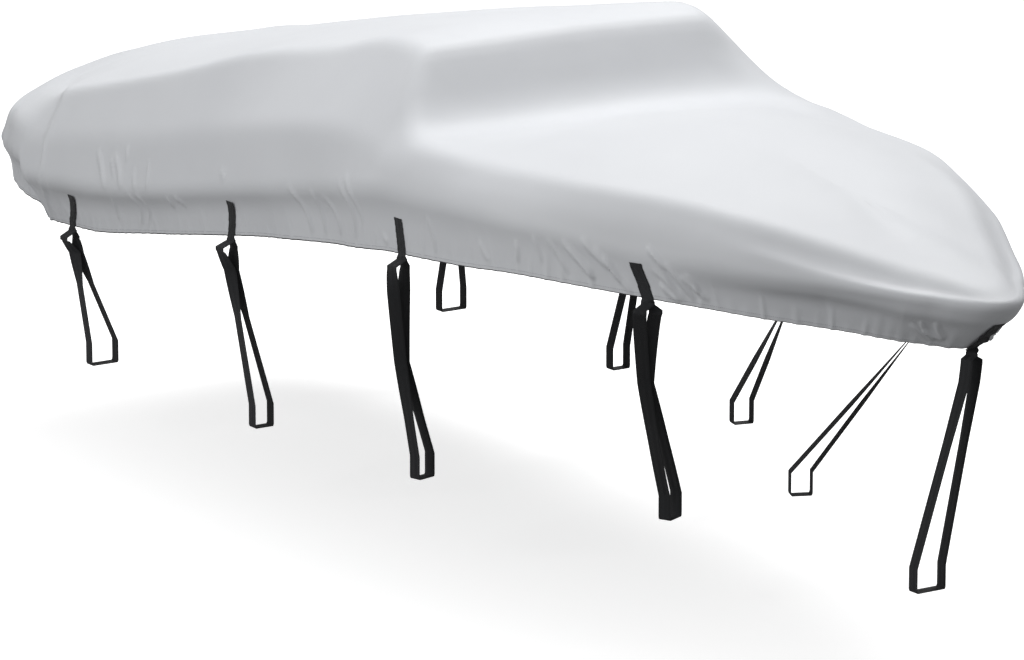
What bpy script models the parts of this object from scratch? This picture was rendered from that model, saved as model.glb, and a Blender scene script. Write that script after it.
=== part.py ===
"""Trailerable cover for a V-hull runabout: one sewn polyester shell that drapes from
the windscreen down over the stern and the foredeck, nine webbing tabs sewn round its
hem, and nine tie-down straps sewn to the tabs that run under the trailer's frame.

Metres, +X to the bow, +Y to port, +Z up. The origin lies on the underside of the cloth,
where the boat's windscreen holds it up.
"""
import math
from collections import namedtuple

import bmesh
import bpy
import numpy as np
from mathutils import Vector
from mathutils.bvhtree import BVHTree

COVER_NAME = "boat_cover"
CLOTH_THICK = 0.002        # coated polyester with its seam allowances
WEB_THICK = 0.0024         # polypropylene webbing
WEB_WIDE = 0.052           # webbing, 2 inch
# Triangles between two cross-sections of webbing, with corners 0 to 3 on one and 4 to 7
# on the next. Both faces are split along the same diagonal, so no twist thins the band.
BAND_SPLIT = (
    (0, 1, 5), (0, 5, 4), (2, 3, 6), (3, 7, 6), (1, 2, 6), (1, 6, 5), (3, 0, 4), (3, 4, 7),
)

# The shell is a row of profiles. Each profile stands in an upright plane that runs from
# a point on the centreline (spine) out to a point on the hem, so the planes fan round
# the stern and the bow. Starboard half; the port half mirrors it but for the skew.
# Each row of PROFILES holds:
#   spine                 x of the profile's inner end, on the centreline
#   x_hem, y_hem, z_hem   its outer end on the hem (y_hem is the distance to starboard)
#   out, z_gun            how far the gunwale stands outside the hem, and its height
#   f_side, z_side        the cheek above the gunwale, as a share of the gunwale's reach
#   f_edge, z_edge        the edge of the top, as a share of the gunwale's reach
#   skew                  how much further out that edge lies to starboard, and further in
#                         to port, as the cloth is drawn to starboard
#   r_edge                how far that edge is rounded off
#   z_crown, z_mid        height half way in from that edge, and on the centreline
Profile = namedtuple(
    "Profile",
    "spine x_hem y_hem z_hem out z_gun f_side z_side f_edge z_edge skew r_edge z_crown z_mid",
)
PROFILES = [
    (-2.267, -2.76, 0.0, -0.846, 0.087, -0.742, 0.97, -0.641, 0.8, -0.557, 0.0, 0.07, -0.474, -0.419),
    (-2.23, -2.76, 0.366, -0.852, 0.098, -0.749, 0.97, -0.648, 0.8, -0.546, 0.0, 0.07, -0.467, -0.41),
    (-2.175, -2.724, 0.658, -0.889, 0.12, -0.78, 0.97, -0.679, 0.82, -0.589, 0.0, 0.06, -0.451, -0.398),
    (-2.084, -2.602, 0.936, -1.02, 0.049, -0.86, 0.97, -0.722, 0.84, -0.625, 0.0, 0.05, -0.437, -0.377),
    (-2.06, -2.49, 0.938, -1.062, 0.08, -0.87, 0.97, -0.735, 0.84, -0.615, 0.0, 0.045, -0.431, -0.371),
    (-2.03, -2.385, 0.936, -1.078, 0.106, -0.885, 0.965, -0.752, 0.84, -0.6, 0.0, 0.045, -0.425, -0.366),
    (-2.011, -2.331, 0.932, -1.129, 0.119, -0.941, 0.96, -0.772, 0.84, -0.585, 0.0, 0.04, -0.419, -0.361),
    (-1.828, -1.965, 0.951, -1.106, 0.098, -0.914, 0.95, -0.713, 0.82, -0.495, 0.0, 0.03, -0.383, -0.327),
    (-1.417, -1.417, 0.978, -1.019, 0.082, -0.841, 0.94, -0.612, 0.78, -0.355, 0.0, 0.03, -0.277, -0.239),
    (-0.914, -0.914, 0.996, -0.927, 0.068, -0.74, 0.93, -0.502, 0.73, -0.206, 0.0, 0.035, -0.153, -0.134),
    (-0.411, -0.411, 1.005, -0.841, 0.068, -0.64, 0.93, -0.397, 0.69, -0.106, 0.0, 0.045, -0.055, -0.045),
    (0.018, 0.018, 1.005, -0.786, 0.064, -0.557, 0.93, -0.338, 0.64, -0.012, 0.0, 0.05, 0.0053, 0.0033),
    (0.16, 0.16, 1.005, -0.772, 0.055, -0.53, 0.925, -0.345, 0.635, -0.022, 0.015, 0.06, -0.016, -0.008),
    (0.29, 0.29, 1.005, -0.755, 0.05, -0.512, 0.93, -0.36, 0.7, -0.16, 0.055, 0.09, -0.15, -0.142),
    (0.42, 0.42, 1.005, -0.738, 0.046, -0.493, 0.955, -0.385, 0.8, -0.309, 0.06, 0.09, -0.308, -0.304),
    (0.56, 0.58, 1.005, -0.726, 0.037, -0.488, 0.965, -0.395, 0.85, -0.322, 0.05, 0.055, -0.302, -0.291),
    (0.823, 0.887, 0.983, -0.708, 0.031, -0.485, 0.965, -0.415, 0.825, -0.343, 0.055, 0.045, -0.259, -0.242),
    (1.143, 1.298, 0.914, -0.681, 0.027, -0.492, 0.965, -0.41, 0.82, -0.336, 0.06, 0.045, -0.245, -0.225),
    (1.481, 1.737, 0.759, -0.69, 0.012, -0.531, 0.965, -0.425, 0.83, -0.342, 0.04, 0.045, -0.269, -0.256),
    (1.755, 2.102, 0.562, -0.713, 0.055, -0.532, 0.96, -0.468, 0.82, -0.372, 0.02, 0.045, -0.313, -0.3),
    (1.938, 2.395, 0.338, -0.74, 0.107, -0.551, 0.95, -0.518, 0.814, -0.436, 0.01, 0.045, -0.356, -0.333),
    (2.047, 2.622, 0.165, -0.764, 0.154, -0.563, 0.95, -0.55, 0.834, -0.492, 0.0, 0.05, -0.407, -0.362),
    (2.093, 2.744, 0.0, -0.778, 0.232, -0.576, 0.95, -0.56, 0.88, -0.532, 0.0, 0.06, -0.429, -0.375),
]
# how far the other corners of a profile are rounded: skirt, gunwale and cheek, then crown
ROUND_OFF = (0.050, 0.060, 0.046)
BOW_ROUND = 0.105          # the gunwale's rounding at the bow
BOW_FROM = (1.3, 2.2)      # it grows to that between these hem places
CROWN_ROUND = 0.23
SKEW_RISE = 0.27           # the edge stands higher by this share of its skew
SKIRT_LEVEL = 0.64         # the skirt is drawn in under the gunwale at this share of its height
SKIRT_SWELL = (0.30, 0.75)  # where it stands out by these shares of the gunwale's overhang
SWELL_OUT = (0.10, 0.14)   # for a gunwale with these overhangs, and in between
STATIONS = 69              # profiles along one side
END_CROWD = 0.35           # above 0, the profiles stand closer at the stern and the bow
RINGS = 16                 # points up one profile
RING_BIAS = 1.45           # above 1, the points stand closer together near the hem
BEND_STEPS = 9             # points along one rounded corner of a profile
HEM_SAMPLES = 2401         # places along the hem searched for a tab's
HEM_REACH = 6              # samples either way that give the hem's direction
TAB_SAMPLES = 161          # points up the skirt where a tab is laid on it
ROW_SPACE = 0.02           # least distance along the hem between two rows of the table
BOW_SLOPE = 1.3            # how blunt the bow is in plan

# Broad folds that the hem's elastic and the tie-downs pull into the skirt. The side is
# -1 for starboard and 1 for port; x is at the hem, and the fold leans aft as it rises.
Fold = namedtuple("Fold", "side x lean half_wide rise depth")
FOLDS = [
    Fold(-1, -1.846, 0.10, 0.128, 0.329, 0.009),
    Fold(-1, -1.389, 0.12, 0.137, 0.366, -0.008),
    Fold(-1, -0.274, 0.45, 0.137, 0.384, 0.011),
    Fold(-1, 0.046, 0.50, 0.146, 0.366, -0.009),
    Fold(-1, 1.261, 0.30, 0.137, 0.274, 0.009),
    Fold(-1, 2.029, 0.20, 0.128, 0.219, -0.008),
    Fold(1, -1.919, 0.12, 0.137, 0.347, -0.009),
    Fold(1, -1.143, 0.20, 0.146, 0.366, 0.008),
    Fold(1, -0.091, 0.40, 0.137, 0.384, 0.010),
    Fold(1, 0.868, 0.35, 0.146, 0.311, -0.009),
    Fold(1, 1.554, 0.25, 0.137, 0.256, 0.009),
]

# Tabs: the hem point that each hangs from, how far its upper end stands forward of its
# lower end, how far it reaches up the skirt, the heading to which its tail turns
# below the hem, in degrees from +X towards the centreline, and how long that tail is
# as a share of TAIL_LONG.
Tab = namedtuple("Tab", "name x_hem lean reach tail_heading tail")
SIDE_TABS = [
    Tab("1", -2.100, 0.095, 0.158, 6.0, 1.0),
    Tab("2", -0.734, 0.045, 0.150, 6.0, 1.0),
    Tab("3", 0.525, -0.015, 0.140, 12.0, 1.0),
    Tab("4", 1.775, -0.047, 0.128, 46.0, 1.0),
]
BOW_TAB = Tab("bow", 2.744, 0.0, 0.200, 12.0, 1.45)
TAB_CLEAR = 0.00045        # least space between a tab and the cloth it is sewn to
CLEAR_STEPS = 6            # places across and along each span where that is measured
TAB_SHARES = (0.0, 0.12, 0.25, 0.38, 0.5, 0.62, 0.75, 0.88, 1.0)
# below the hem the tail turns: how far down, and the share of the turn
TAIL_TURNS = ((0.002, 0.0), (0.0045, 0.22), (0.007, 0.48), (0.009, 0.74), (0.0115, 1.0))
TAIL_LONG = 0.028          # the tab's end below the hem, sewn between the strap's two ends
SEARCH_OUT = 0.020         # how far outside the skirt the search for its face starts

# Straps: the seat is the middle of the underside of the frame rail that each runs under,
# then the rail's width across and its heading in plan. The strap's two plies stand
# "parted" just under the tab, which is the corner of the strap; they come together to
# "pinch" at the share "waist" of the way from there to the rail. "apart" is the heading
# along which they part, "lean" how far the corner stands aft of the tab, and "sag" how
# far the strap hangs aft of a straight line at its waist. Headings are in degrees from
# +X towards the centreline.
Seat = namedtuple("Seat", "x y z rail_wide heading apart lean parted pinch waist sag")
SIDE_SEATS = [
    Seat(-2.012, -0.868, -1.695, 0.120, 0.0, 90.0, 0.012, 0.058, 0.015, 0.14, -0.008),
    Seat(-0.745, -0.868, -1.695, 0.080, 0.0, 90.0, 0.018, 0.066, 0.014, 0.14, 0.000),
    Seat(0.279, -0.763, -1.695, 0.080, 14.0, 90.0, 0.013, 0.060, 0.014, 0.50, 0.033),
    Seat(1.302, -0.306, -1.695, 0.080, 24.0, 70.0, 0.000, 0.060, 0.015, 0.38, 0.040),
]
BOW_SEAT = Seat(2.506, 0.0, -1.742, 0.125, 0.0, 90.0, 0.000, 0.050, 0.050, 0.10, -0.012)
PLY_START = 0.0135          # the plies' sewn ends below the hem
PLY_GAP = 0.0004           # between a sewn end and the tab
CORNER_DROP = 0.050        # below the hem, where the plies stand "parted"
CORNER_BEND = 0.007        # half the height of the bend there
SAG_POWER = 0.8            # how soon the sag sets in above the waist
SAG_HEADING = 56.0         # heading along which the straps lean and sag
LEG_SHARES = (0.06, 0.13, 0.20, 0.28, 0.37, 0.47, 0.57, 0.68, 0.79, 0.90, 1.0)
HANG_HEADING = 42.0        # heading of the plies between the corner and the waist
HANG_SHARE = 0.13          # share of the way by which they have turned to that
RAIL_SHARE = 0.30          # and how long they then take to turn to the rail's
SEAT_CORNER = 0.010        # the webbing's bend under the rail
SEAT_INSET = 0.002         # and how far that bend is drawn in
RAIL_HIGH = 0.092          # the legs lie upright on the rail's sides for this far


def start_scene():
    """Empty the scene and make the two collections."""
    for old in list(bpy.data.objects):
        bpy.data.objects.remove(old, do_unlink=True)
    parts = bpy.data.collections.new(COVER_NAME)
    bpy.context.scene.collection.children.link(parts)
    return parts


def plain_material(name, colour, rough):
    """A Principled material of one colour."""
    made = bpy.data.materials.new(name)
    made.use_nodes = True
    shader = made.node_tree.nodes["Principled BSDF"]
    shader.inputs["Base Color"].default_value = (*colour, 1.0)
    shader.inputs["Roughness"].default_value = rough
    return made


def add_object(name, mesh_bm, material, parts):
    """Turn a bmesh into a named, smooth object in the part's collection."""
    mesh = bpy.data.meshes.new(name)
    bmesh.ops.recalc_face_normals(mesh_bm, faces=mesh_bm.faces)
    mesh_bm.to_mesh(mesh)
    mesh_bm.free()
    mesh.materials.append(material)
    mesh.shade_smooth()
    made = bpy.data.objects.new(name, mesh)
    parts.objects.link(made)
    return made


def smooth_rows(at, rows, wanted):
    """Read a table between its rows without overshoot (monotone cubic)."""
    gap = np.diff(at)
    rise = np.diff(rows, axis=0) / gap[:, None]
    slope = np.zeros_like(rows)
    before = (2 * gap[1:] + gap[:-1])[:, None]
    after = (gap[1:] + 2 * gap[:-1])[:, None]
    same = rise[:-1] * rise[1:] > 0
    safe_a = np.where(same, rise[:-1], 1.0)
    safe_b = np.where(same, rise[1:], 1.0)
    mean = (before + after) / (before / safe_a + after / safe_b)
    slope[1:-1] = np.where(same, mean, 0.0)
    # the two halves of the shell meet square to the centreline, so only the distance
    # from it changes there
    across = Profile._fields.index("y_hem")
    slope[0, across] = rise[0, across]
    slope[-1, across] = BOW_SLOPE * rise[-1, across]
    k = np.clip(np.searchsorted(at, wanted, side="right") - 1, 0, len(at) - 2)
    t = ((wanted - at[k]) / gap[k])[:, None]
    h = gap[k][:, None]
    start = (2 * t**3 - 3 * t**2 + 1) * rows[k] + (t**3 - 2 * t**2 + t) * h * slope[k]
    end = (-2 * t**3 + 3 * t**2) * rows[k + 1] + (t**3 - t**2) * h * slope[k + 1]
    return start + end


def hem_lengths():
    """How far along the hem each row of PROFILES stands."""
    rows = np.array(PROFILES)
    steps = np.hypot(np.diff(rows[:, 1]), np.diff(rows[:, 2])) + ROW_SPACE
    return np.concatenate([[0.0], np.cumsum(steps)])


def profile_rows(count):
    """The table of PROFILES read at stations that stand closer at the stern and the bow."""
    at = hem_lengths()
    share = np.linspace(0.0, 1.0, count)
    share -= END_CROWD * np.sin(2.0 * np.pi * share) / (2.0 * np.pi)
    return smooth_rows(at, np.array(PROFILES), at[-1] * share)


def rounded_line(corners, p, count):
    """Points on a line with its corners rounded off, closer together near its start."""
    corners = np.array(corners)
    gunwale = float(np.interp(p.x_hem, BOW_FROM, (ROUND_OFF[1], BOW_ROUND)))
    radii = (0.0, ROUND_OFF[0], gunwale, ROUND_OFF[2], p.r_edge, CROWN_ROUND)
    line = [corners[0]]
    for k in range(1, len(corners) - 1):
        back = corners[k - 1] - corners[k]
        on = corners[k + 1] - corners[k]
        back_long = np.linalg.norm(back)
        on_long = np.linalg.norm(on)
        cut = min(radii[k], 0.49 * back_long, 0.49 * on_long)
        start = corners[k] + back / back_long * cut
        end = corners[k] + on / on_long * cut
        for t in np.linspace(0.0, 1.0, BEND_STEPS):
            line.append((1 - t) ** 2 * start + 2 * t * (1 - t) * corners[k] + t * t * end)
    line.append(corners[-1])
    line = np.array(line)
    run = np.concatenate([[0.0], np.cumsum(np.linalg.norm(np.diff(line, axis=0), axis=1))])
    even = run[-1] * np.linspace(0.0, 1.0, count) ** RING_BIAS
    return np.stack([np.interp(even, run, line[:, j]) for j in range(2)], axis=-1)


def profile_points(row, count, side):
    """One profile of the shell, from the hem up to the centreline."""
    p = Profile(*row)
    along = Vector((p.x_hem - p.spine, side * p.y_hem))
    reach = along.length
    along.normalize()
    wide = reach + p.out
    swell = float(np.interp(p.out, SWELL_OUT, SKIRT_SWELL))
    f_edge = p.f_edge - side * p.skew
    corners = [
        (reach, p.z_hem),
        (reach + p.out * swell, p.z_hem + SKIRT_LEVEL * (p.z_gun - p.z_hem)),
        (wide, p.z_gun),
        (wide * p.f_side, p.z_side),
        (wide * f_edge, p.z_edge - side * SKEW_RISE * p.skew),
        (wide * f_edge * 0.5, p.z_crown),
        (0.0, p.z_mid),
    ]
    points = []
    for r, z in rounded_line(corners, p, count):
        push = fold_push(p.spine + along.x * r, z, p.z_hem, side) if r > 0.5 * wide else 0.0
        points.append(Vector((p.spine + along.x * (r + push), along.y * (r + push), z)))
    return points


def fold_push(x, z, z_hem, side):
    """How far the broad folds move the skirt outwards at one place."""
    push = 0.0
    up = z - z_hem
    for fold in FOLDS:
        if fold.side != side or not 0.0 <= up < fold.rise:
            continue
        off = (x - fold.x + fold.lean * up) / fold.half_wide
        fade = math.cos(0.5 * math.pi * up / fold.rise)
        push += fold.depth * fade * math.exp(-off * off)
    return push


def build_cover(parts, cloth):
    """The shell: both halves of the profiles joined into one skin, then thickened."""
    rows = profile_rows(STATIONS)
    bm = bmesh.new()
    grid = {-1: [], 1: []}
    for i, row in enumerate(rows):
        starboard = profile_points(row, RINGS, -1)
        near = [bm.verts.new(p) for p in starboard]
        if i in (0, len(rows) - 1):
            far = near
        else:
            port = profile_points(row, RINGS, 1)
            far = [bm.verts.new(p) for p in port[:-1]] + [near[-1]]
        grid[-1].append(near)
        grid[1].append(far)
    for side in (-1, 1):
        for a, b in zip(grid[side][:-1], grid[side][1:]):
            for j in range(RINGS - 1):
                corners = [a[j], b[j], b[j + 1], a[j + 1]]
                bm.faces.new(corners if side < 0 else corners[::-1])
    bmesh.ops.recalc_face_normals(bm, faces=bm.faces)
    top = max(bm.faces, key=lambda face: face.calc_center_median().z)
    if top.normal.z < 0:
        bmesh.ops.reverse_faces(bm, faces=bm.faces)
    mesh = bpy.data.meshes.new("cover")
    bm.to_mesh(mesh)
    bm.free()
    mesh.materials.append(cloth)
    mesh.shade_smooth()
    cover = bpy.data.objects.new("cover", mesh)
    parts.objects.link(cover)
    thick = cover.modifiers.new("cloth", "SOLIDIFY")
    thick.thickness = CLOTH_THICK
    thick.offset = -1.0
    thick.use_even_offset = True
    return cover


def hem_frame(x_hem, side):
    """A place on the hem: its profile, and the directions along and out from the hem."""
    at = hem_lengths()
    rows = smooth_rows(at, np.array(PROFILES), np.linspace(0.0, at[-1], HEM_SAMPLES))
    last = len(rows) - 1
    k = int(np.argmin(np.abs(rows[:, 1] - x_hem)))
    if k == last:
        return rows[k], Vector((0.0, 1.0, 0.0)), Vector((1.0, 0.0, 0.0))
    ahead = rows[min(k + HEM_REACH, last)]
    behind = rows[k - HEM_REACH]
    along = Vector((ahead[1] - behind[1], side * (ahead[2] - behind[2]), 0.0))
    along.normalize()
    return rows[k], along, Vector((-side * along.y, side * along.x, 0.0))


def plan_heading(degrees, side):
    """A level direction, in degrees from +X towards the centreline (to port at the bow)."""
    turn = math.radians(degrees)
    return Vector((math.cos(turn), -(side or -1) * math.sin(turn), 0.0))


def turned(start, end, share):
    """The level direction a share of the turn from one to another."""
    return start.lerp(end, min(max(share, 0.0), 1.0)).normalized()


def ribbon(sections):
    """A band of webbing through pairs of edge points, with its thickness."""
    bm = bmesh.new()
    rings = []
    last = len(sections) - 1
    for i, (left, right) in enumerate(sections):
        before = sections[max(i - 1, 0)]
        after = sections[min(i + 1, last)]
        run = (after[0] + after[1]) - (before[0] + before[1])
        face = (right - left).cross(run)
        face.normalize()
        half = face * (WEB_THICK * 0.5)
        ring = [left + half, right + half, right - half, left - half]
        rings.append([bm.verts.new(p) for p in ring])
    for a, b in zip(rings[:-1], rings[1:]):
        both = a + b
        for corners in BAND_SPLIT:
            bm.faces.new([both[c] for c in corners])
    bm.faces.new(rings[0][::-1])
    bm.faces.new(rings[-1])
    return bm


def skirt_line(tab, side):
    """Places up the skirt under a tab, from the hem to its upper end."""
    places = []
    for share in TAB_SHARES:
        here, _, _ = hem_frame(tab.x_hem + tab.lean * share, side)
        points = profile_points(here, TAB_SAMPLES, side)
        left = tab.reach * share
        k = 0
        while left > (points[k + 1] - points[k]).length:
            left -= (points[k + 1] - points[k]).length
            k += 1
        step = points[k + 1] - points[k]
        places.append(points[k] + step * (left / step.length))
    return places


def least_height(spans, lifts, skin):
    """The least height of a run of edge pairs above the cloth, along their lifts."""
    least = math.inf
    for k in range(len(spans) - 1):
        lift = lifts[k]
        for i in range(CLEAR_STEPS + 1):
            left = spans[k][0].lerp(spans[k + 1][0], i / CLEAR_STEPS)
            right = spans[k][1].lerp(spans[k + 1][1], i / CLEAR_STEPS)
            for j in range(CLEAR_STEPS + 1):
                place = left.lerp(right, j / CLEAR_STEPS)
                start = place + lift * SEARCH_OUT
                hit = skin.ray_cast(start, -lift)[0]
                if hit is not None:
                    least = min(least, (place - hit).dot(lift))
    return least


def build_tab(tab, side, parts, webbing, skin, node):
    """A tab: flat on the skirt, with a tail that turns as it hangs below the hem."""
    _, along, out = hem_frame(tab.x_hem, side)
    places = skirt_line(tab, side)
    half = along * (WEB_WIDE * 0.5)
    laid = []
    lifts = []
    for i in range(len(places) - 1, -1, -1):
        rise = places[max(i, 1)] - places[max(i, 1) - 1]
        lift = along.cross(rise).normalized()
        if lift.dot(out) < 0:
            lift = -lift
        aft, middle, fore = (
            skin.find_nearest(place + lift * SEARCH_OUT)[0]
            for place in (places[i] - half, places[i], places[i] + half)
        )
        proud = max(0.0, (middle - aft.lerp(fore, 0.5)).dot(lift))
        laid.append((aft + lift * proud, fore + lift * proud))
        lifts.append(lift)
    raise_by = 0.5 * WEB_THICK + TAB_CLEAR - least_height(laid, lifts, skin)
    sections = [(a + n * raise_by, f + n * raise_by) for (a, f), n in zip(laid, lifts)]
    tail = (sections[-1][0] + sections[-1][1]) * 0.5
    hem_high = places[0].z
    flat = plan_heading(tab.tail_heading, side)
    for drop, share in TAIL_TURNS + ((TAIL_LONG, 1.0),):
        middle = Vector((tail.x, tail.y, hem_high - drop * tab.tail))
        half = turned(along, flat, share) * (WEB_WIDE * 0.5)
        sections.append((middle - half, middle + half))
    add_object(node, ribbon(sections), webbing, parts)
    return Vector((tail.x, tail.y, hem_high))


def parting(seat, down):
    """How far the two plies of a strap stand apart at a share of the way to the rail."""
    if down < seat.waist:
        left = 1.0 - down / seat.waist
        return seat.pinch + (seat.parted - seat.pinch) * left
    over = (down - seat.waist) / (1.0 - seat.waist)
    return seat.pinch + (seat.rail_wide + 2.0 * WEB_THICK - seat.pinch) * over


def sag_at(seat, down):
    """How far a strap hangs off the straight line at a share of the way to the rail."""
    if down < seat.waist:
        return seat.sag * (down / seat.waist) ** SAG_POWER
    return seat.sag * (1.0 - down) / (1.0 - seat.waist)


def ply_sections(knot, tab, seat, side, way):
    """One ply from its sewn end to the rail: way is 1 outside the rail, -1 inside."""
    flat = plan_heading(tab.tail_heading, side)
    rail = plan_heading(seat.heading, side)
    hang = plan_heading(max(HANG_HEADING, tab.tail_heading), side) if side else flat
    face = -plan_heading(tab.tail_heading + 90.0, side)
    apart = -plan_heading(seat.apart, side)
    across = -plan_heading(seat.heading + 90.0, side)
    aft = -plan_heading(SAG_HEADING if side else 0.0, side)
    up = Vector((0.0, 0.0, 1.0))
    foot = Vector((seat.x, -side * seat.y, seat.z + RAIL_HIGH))
    corner = knot + aft * seat.lean - up * CORNER_DROP
    made = []
    for drop in (PLY_START, 0.5 * (PLY_START + TAIL_LONG)):
        sewn = knot - up * (drop * tab.tail)
        made.append((sewn + face * (way * (WEB_THICK + PLY_GAP)), flat))
    for rise in (CORNER_BEND, -CORNER_BEND):
        made.append((corner + apart * (0.5 * way * seat.parted) + up * rise, flat))
    for down in LEG_SHARES:
        middle = corner.lerp(foot, down) + aft * sag_at(seat, down)
        middle += turned(apart, across, down) * (0.5 * way * parting(seat, down))
        heading = turned(flat, hang, down / HANG_SHARE)
        heading = turned(heading, rail, (down - seat.waist) / RAIL_SHARE)
        made.append((middle, heading))
    return [(p - d * (0.5 * WEB_WIDE), p + d * (0.5 * WEB_WIDE)) for p, d in made]


def build_strap(knot, tab, seat, side, parts, webbing, node):
    """A tie-down: one length of webbing from the tab's outer face, down, under the rail
    and back up to the tab's inner face."""
    across = -plan_heading(seat.heading + 90.0, side)
    seat_at = Vector((seat.x, -side * seat.y, seat.z))
    half = plan_heading(seat.heading, side) * (0.5 * WEB_WIDE)
    reach = 0.5 * seat.rail_wide
    side_face = reach + WEB_THICK
    under = []
    for sideways, high in (
        (side_face, SEAT_CORNER),
        (reach - SEAT_INSET, 0.0),
        (0.0, 0.0),
        (SEAT_INSET - reach, 0.0),
        (-side_face, SEAT_CORNER),
    ):
        place = seat_at + across * sideways + Vector((0.0, 0.0, high))
        under.append((place - half, place + half))
    sections = ply_sections(knot, tab, seat, side, 1) + under
    sections += ply_sections(knot, tab, seat, side, -1)[::-1]
    add_object(node, ribbon(sections), webbing, parts)


def build_all():
    """Every piece of the cover."""
    parts = start_scene()
    cloth = plain_material("silver_polyester", (0.60, 0.61, 0.63), 0.55)
    webbing = plain_material("black_webbing", (0.02, 0.02, 0.02), 0.75)
    cover = build_cover(parts, cloth)
    bpy.context.view_layer.update()
    skin = BVHTree.FromObject(cover, bpy.context.evaluated_depsgraph_get())
    sets = [("bow", 0, BOW_TAB, BOW_SEAT)]
    for side, hand in ((-1, "stbd"), (1, "port")):
        for tab, seat in zip(SIDE_TABS, SIDE_SEATS):
            sets.append((f"{hand}_{tab.name}", side, tab, seat))
    for label, side, tab, seat in sets:
        knot = build_tab(tab, side, parts, webbing, skin, f"tab_{label}")
        build_strap(knot, tab, seat, side, parts, webbing, f"strap_{label}")


build_all()
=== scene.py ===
import math
from collections import namedtuple

import bmesh
import bpy
import numpy as np
from mathutils import Matrix, Vector
from mathutils.bvhtree import BVHTree


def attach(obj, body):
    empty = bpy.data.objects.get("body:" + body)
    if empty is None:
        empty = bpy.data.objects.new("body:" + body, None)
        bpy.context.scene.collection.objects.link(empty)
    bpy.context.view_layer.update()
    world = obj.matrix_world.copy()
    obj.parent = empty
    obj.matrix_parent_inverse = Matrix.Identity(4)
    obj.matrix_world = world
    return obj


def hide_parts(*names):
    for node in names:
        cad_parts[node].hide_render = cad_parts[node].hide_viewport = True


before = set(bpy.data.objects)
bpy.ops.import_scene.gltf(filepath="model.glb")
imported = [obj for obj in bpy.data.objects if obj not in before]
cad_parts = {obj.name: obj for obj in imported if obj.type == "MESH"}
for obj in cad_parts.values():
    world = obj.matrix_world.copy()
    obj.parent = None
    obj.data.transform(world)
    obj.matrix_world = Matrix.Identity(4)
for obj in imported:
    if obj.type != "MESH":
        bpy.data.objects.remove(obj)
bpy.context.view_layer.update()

# ---- Camera ----
# It stands off the starboard bow, about 25 m away and a little above the cover, with a
# long lens, so that the near and the far side are drawn at nearly one scale.
CAMERA_AT = Vector((20.2646, -13.6732, 4.6479))
CAMERA_AZIMUTH = math.radians(56.3)
CAMERA_HEIGHT = math.radians(13.6)
CAMERA_LENS = 222.79       # mm
CAMERA_SENSOR = 36.0       # mm
CAMERA_SEES = 200.0        # m

camera = bpy.data.objects.new("view_camera", bpy.data.cameras.new("view_camera"))
bpy.context.scene.collection.objects.link(camera)
camera.data.sensor_width = CAMERA_SENSOR
camera.data.lens = CAMERA_LENS
camera.data.clip_end = CAMERA_SEES
back = Vector((
    math.sin(CAMERA_AZIMUTH) * math.cos(CAMERA_HEIGHT),
    -math.cos(CAMERA_AZIMUTH) * math.cos(CAMERA_HEIGHT),
    math.sin(CAMERA_HEIGHT),
))
right = Vector((math.cos(CAMERA_AZIMUTH), math.sin(CAMERA_AZIMUTH), 0.0))
turn = Matrix((right, back.cross(right), back)).transposed()
camera.matrix_world = Matrix.Translation(CAMERA_AT) @ turn.to_4x4()
bpy.context.scene.camera = camera

# ---- Cover ----
# One shell of silver-grey coated polyester, cut and sewn to fit a V-hull runabout. It is
# pulled over the windscreen, stern and foredeck, and its hem is drawn in under the
# gunwale by elastic, so the skirt is full of small folds.

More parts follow.
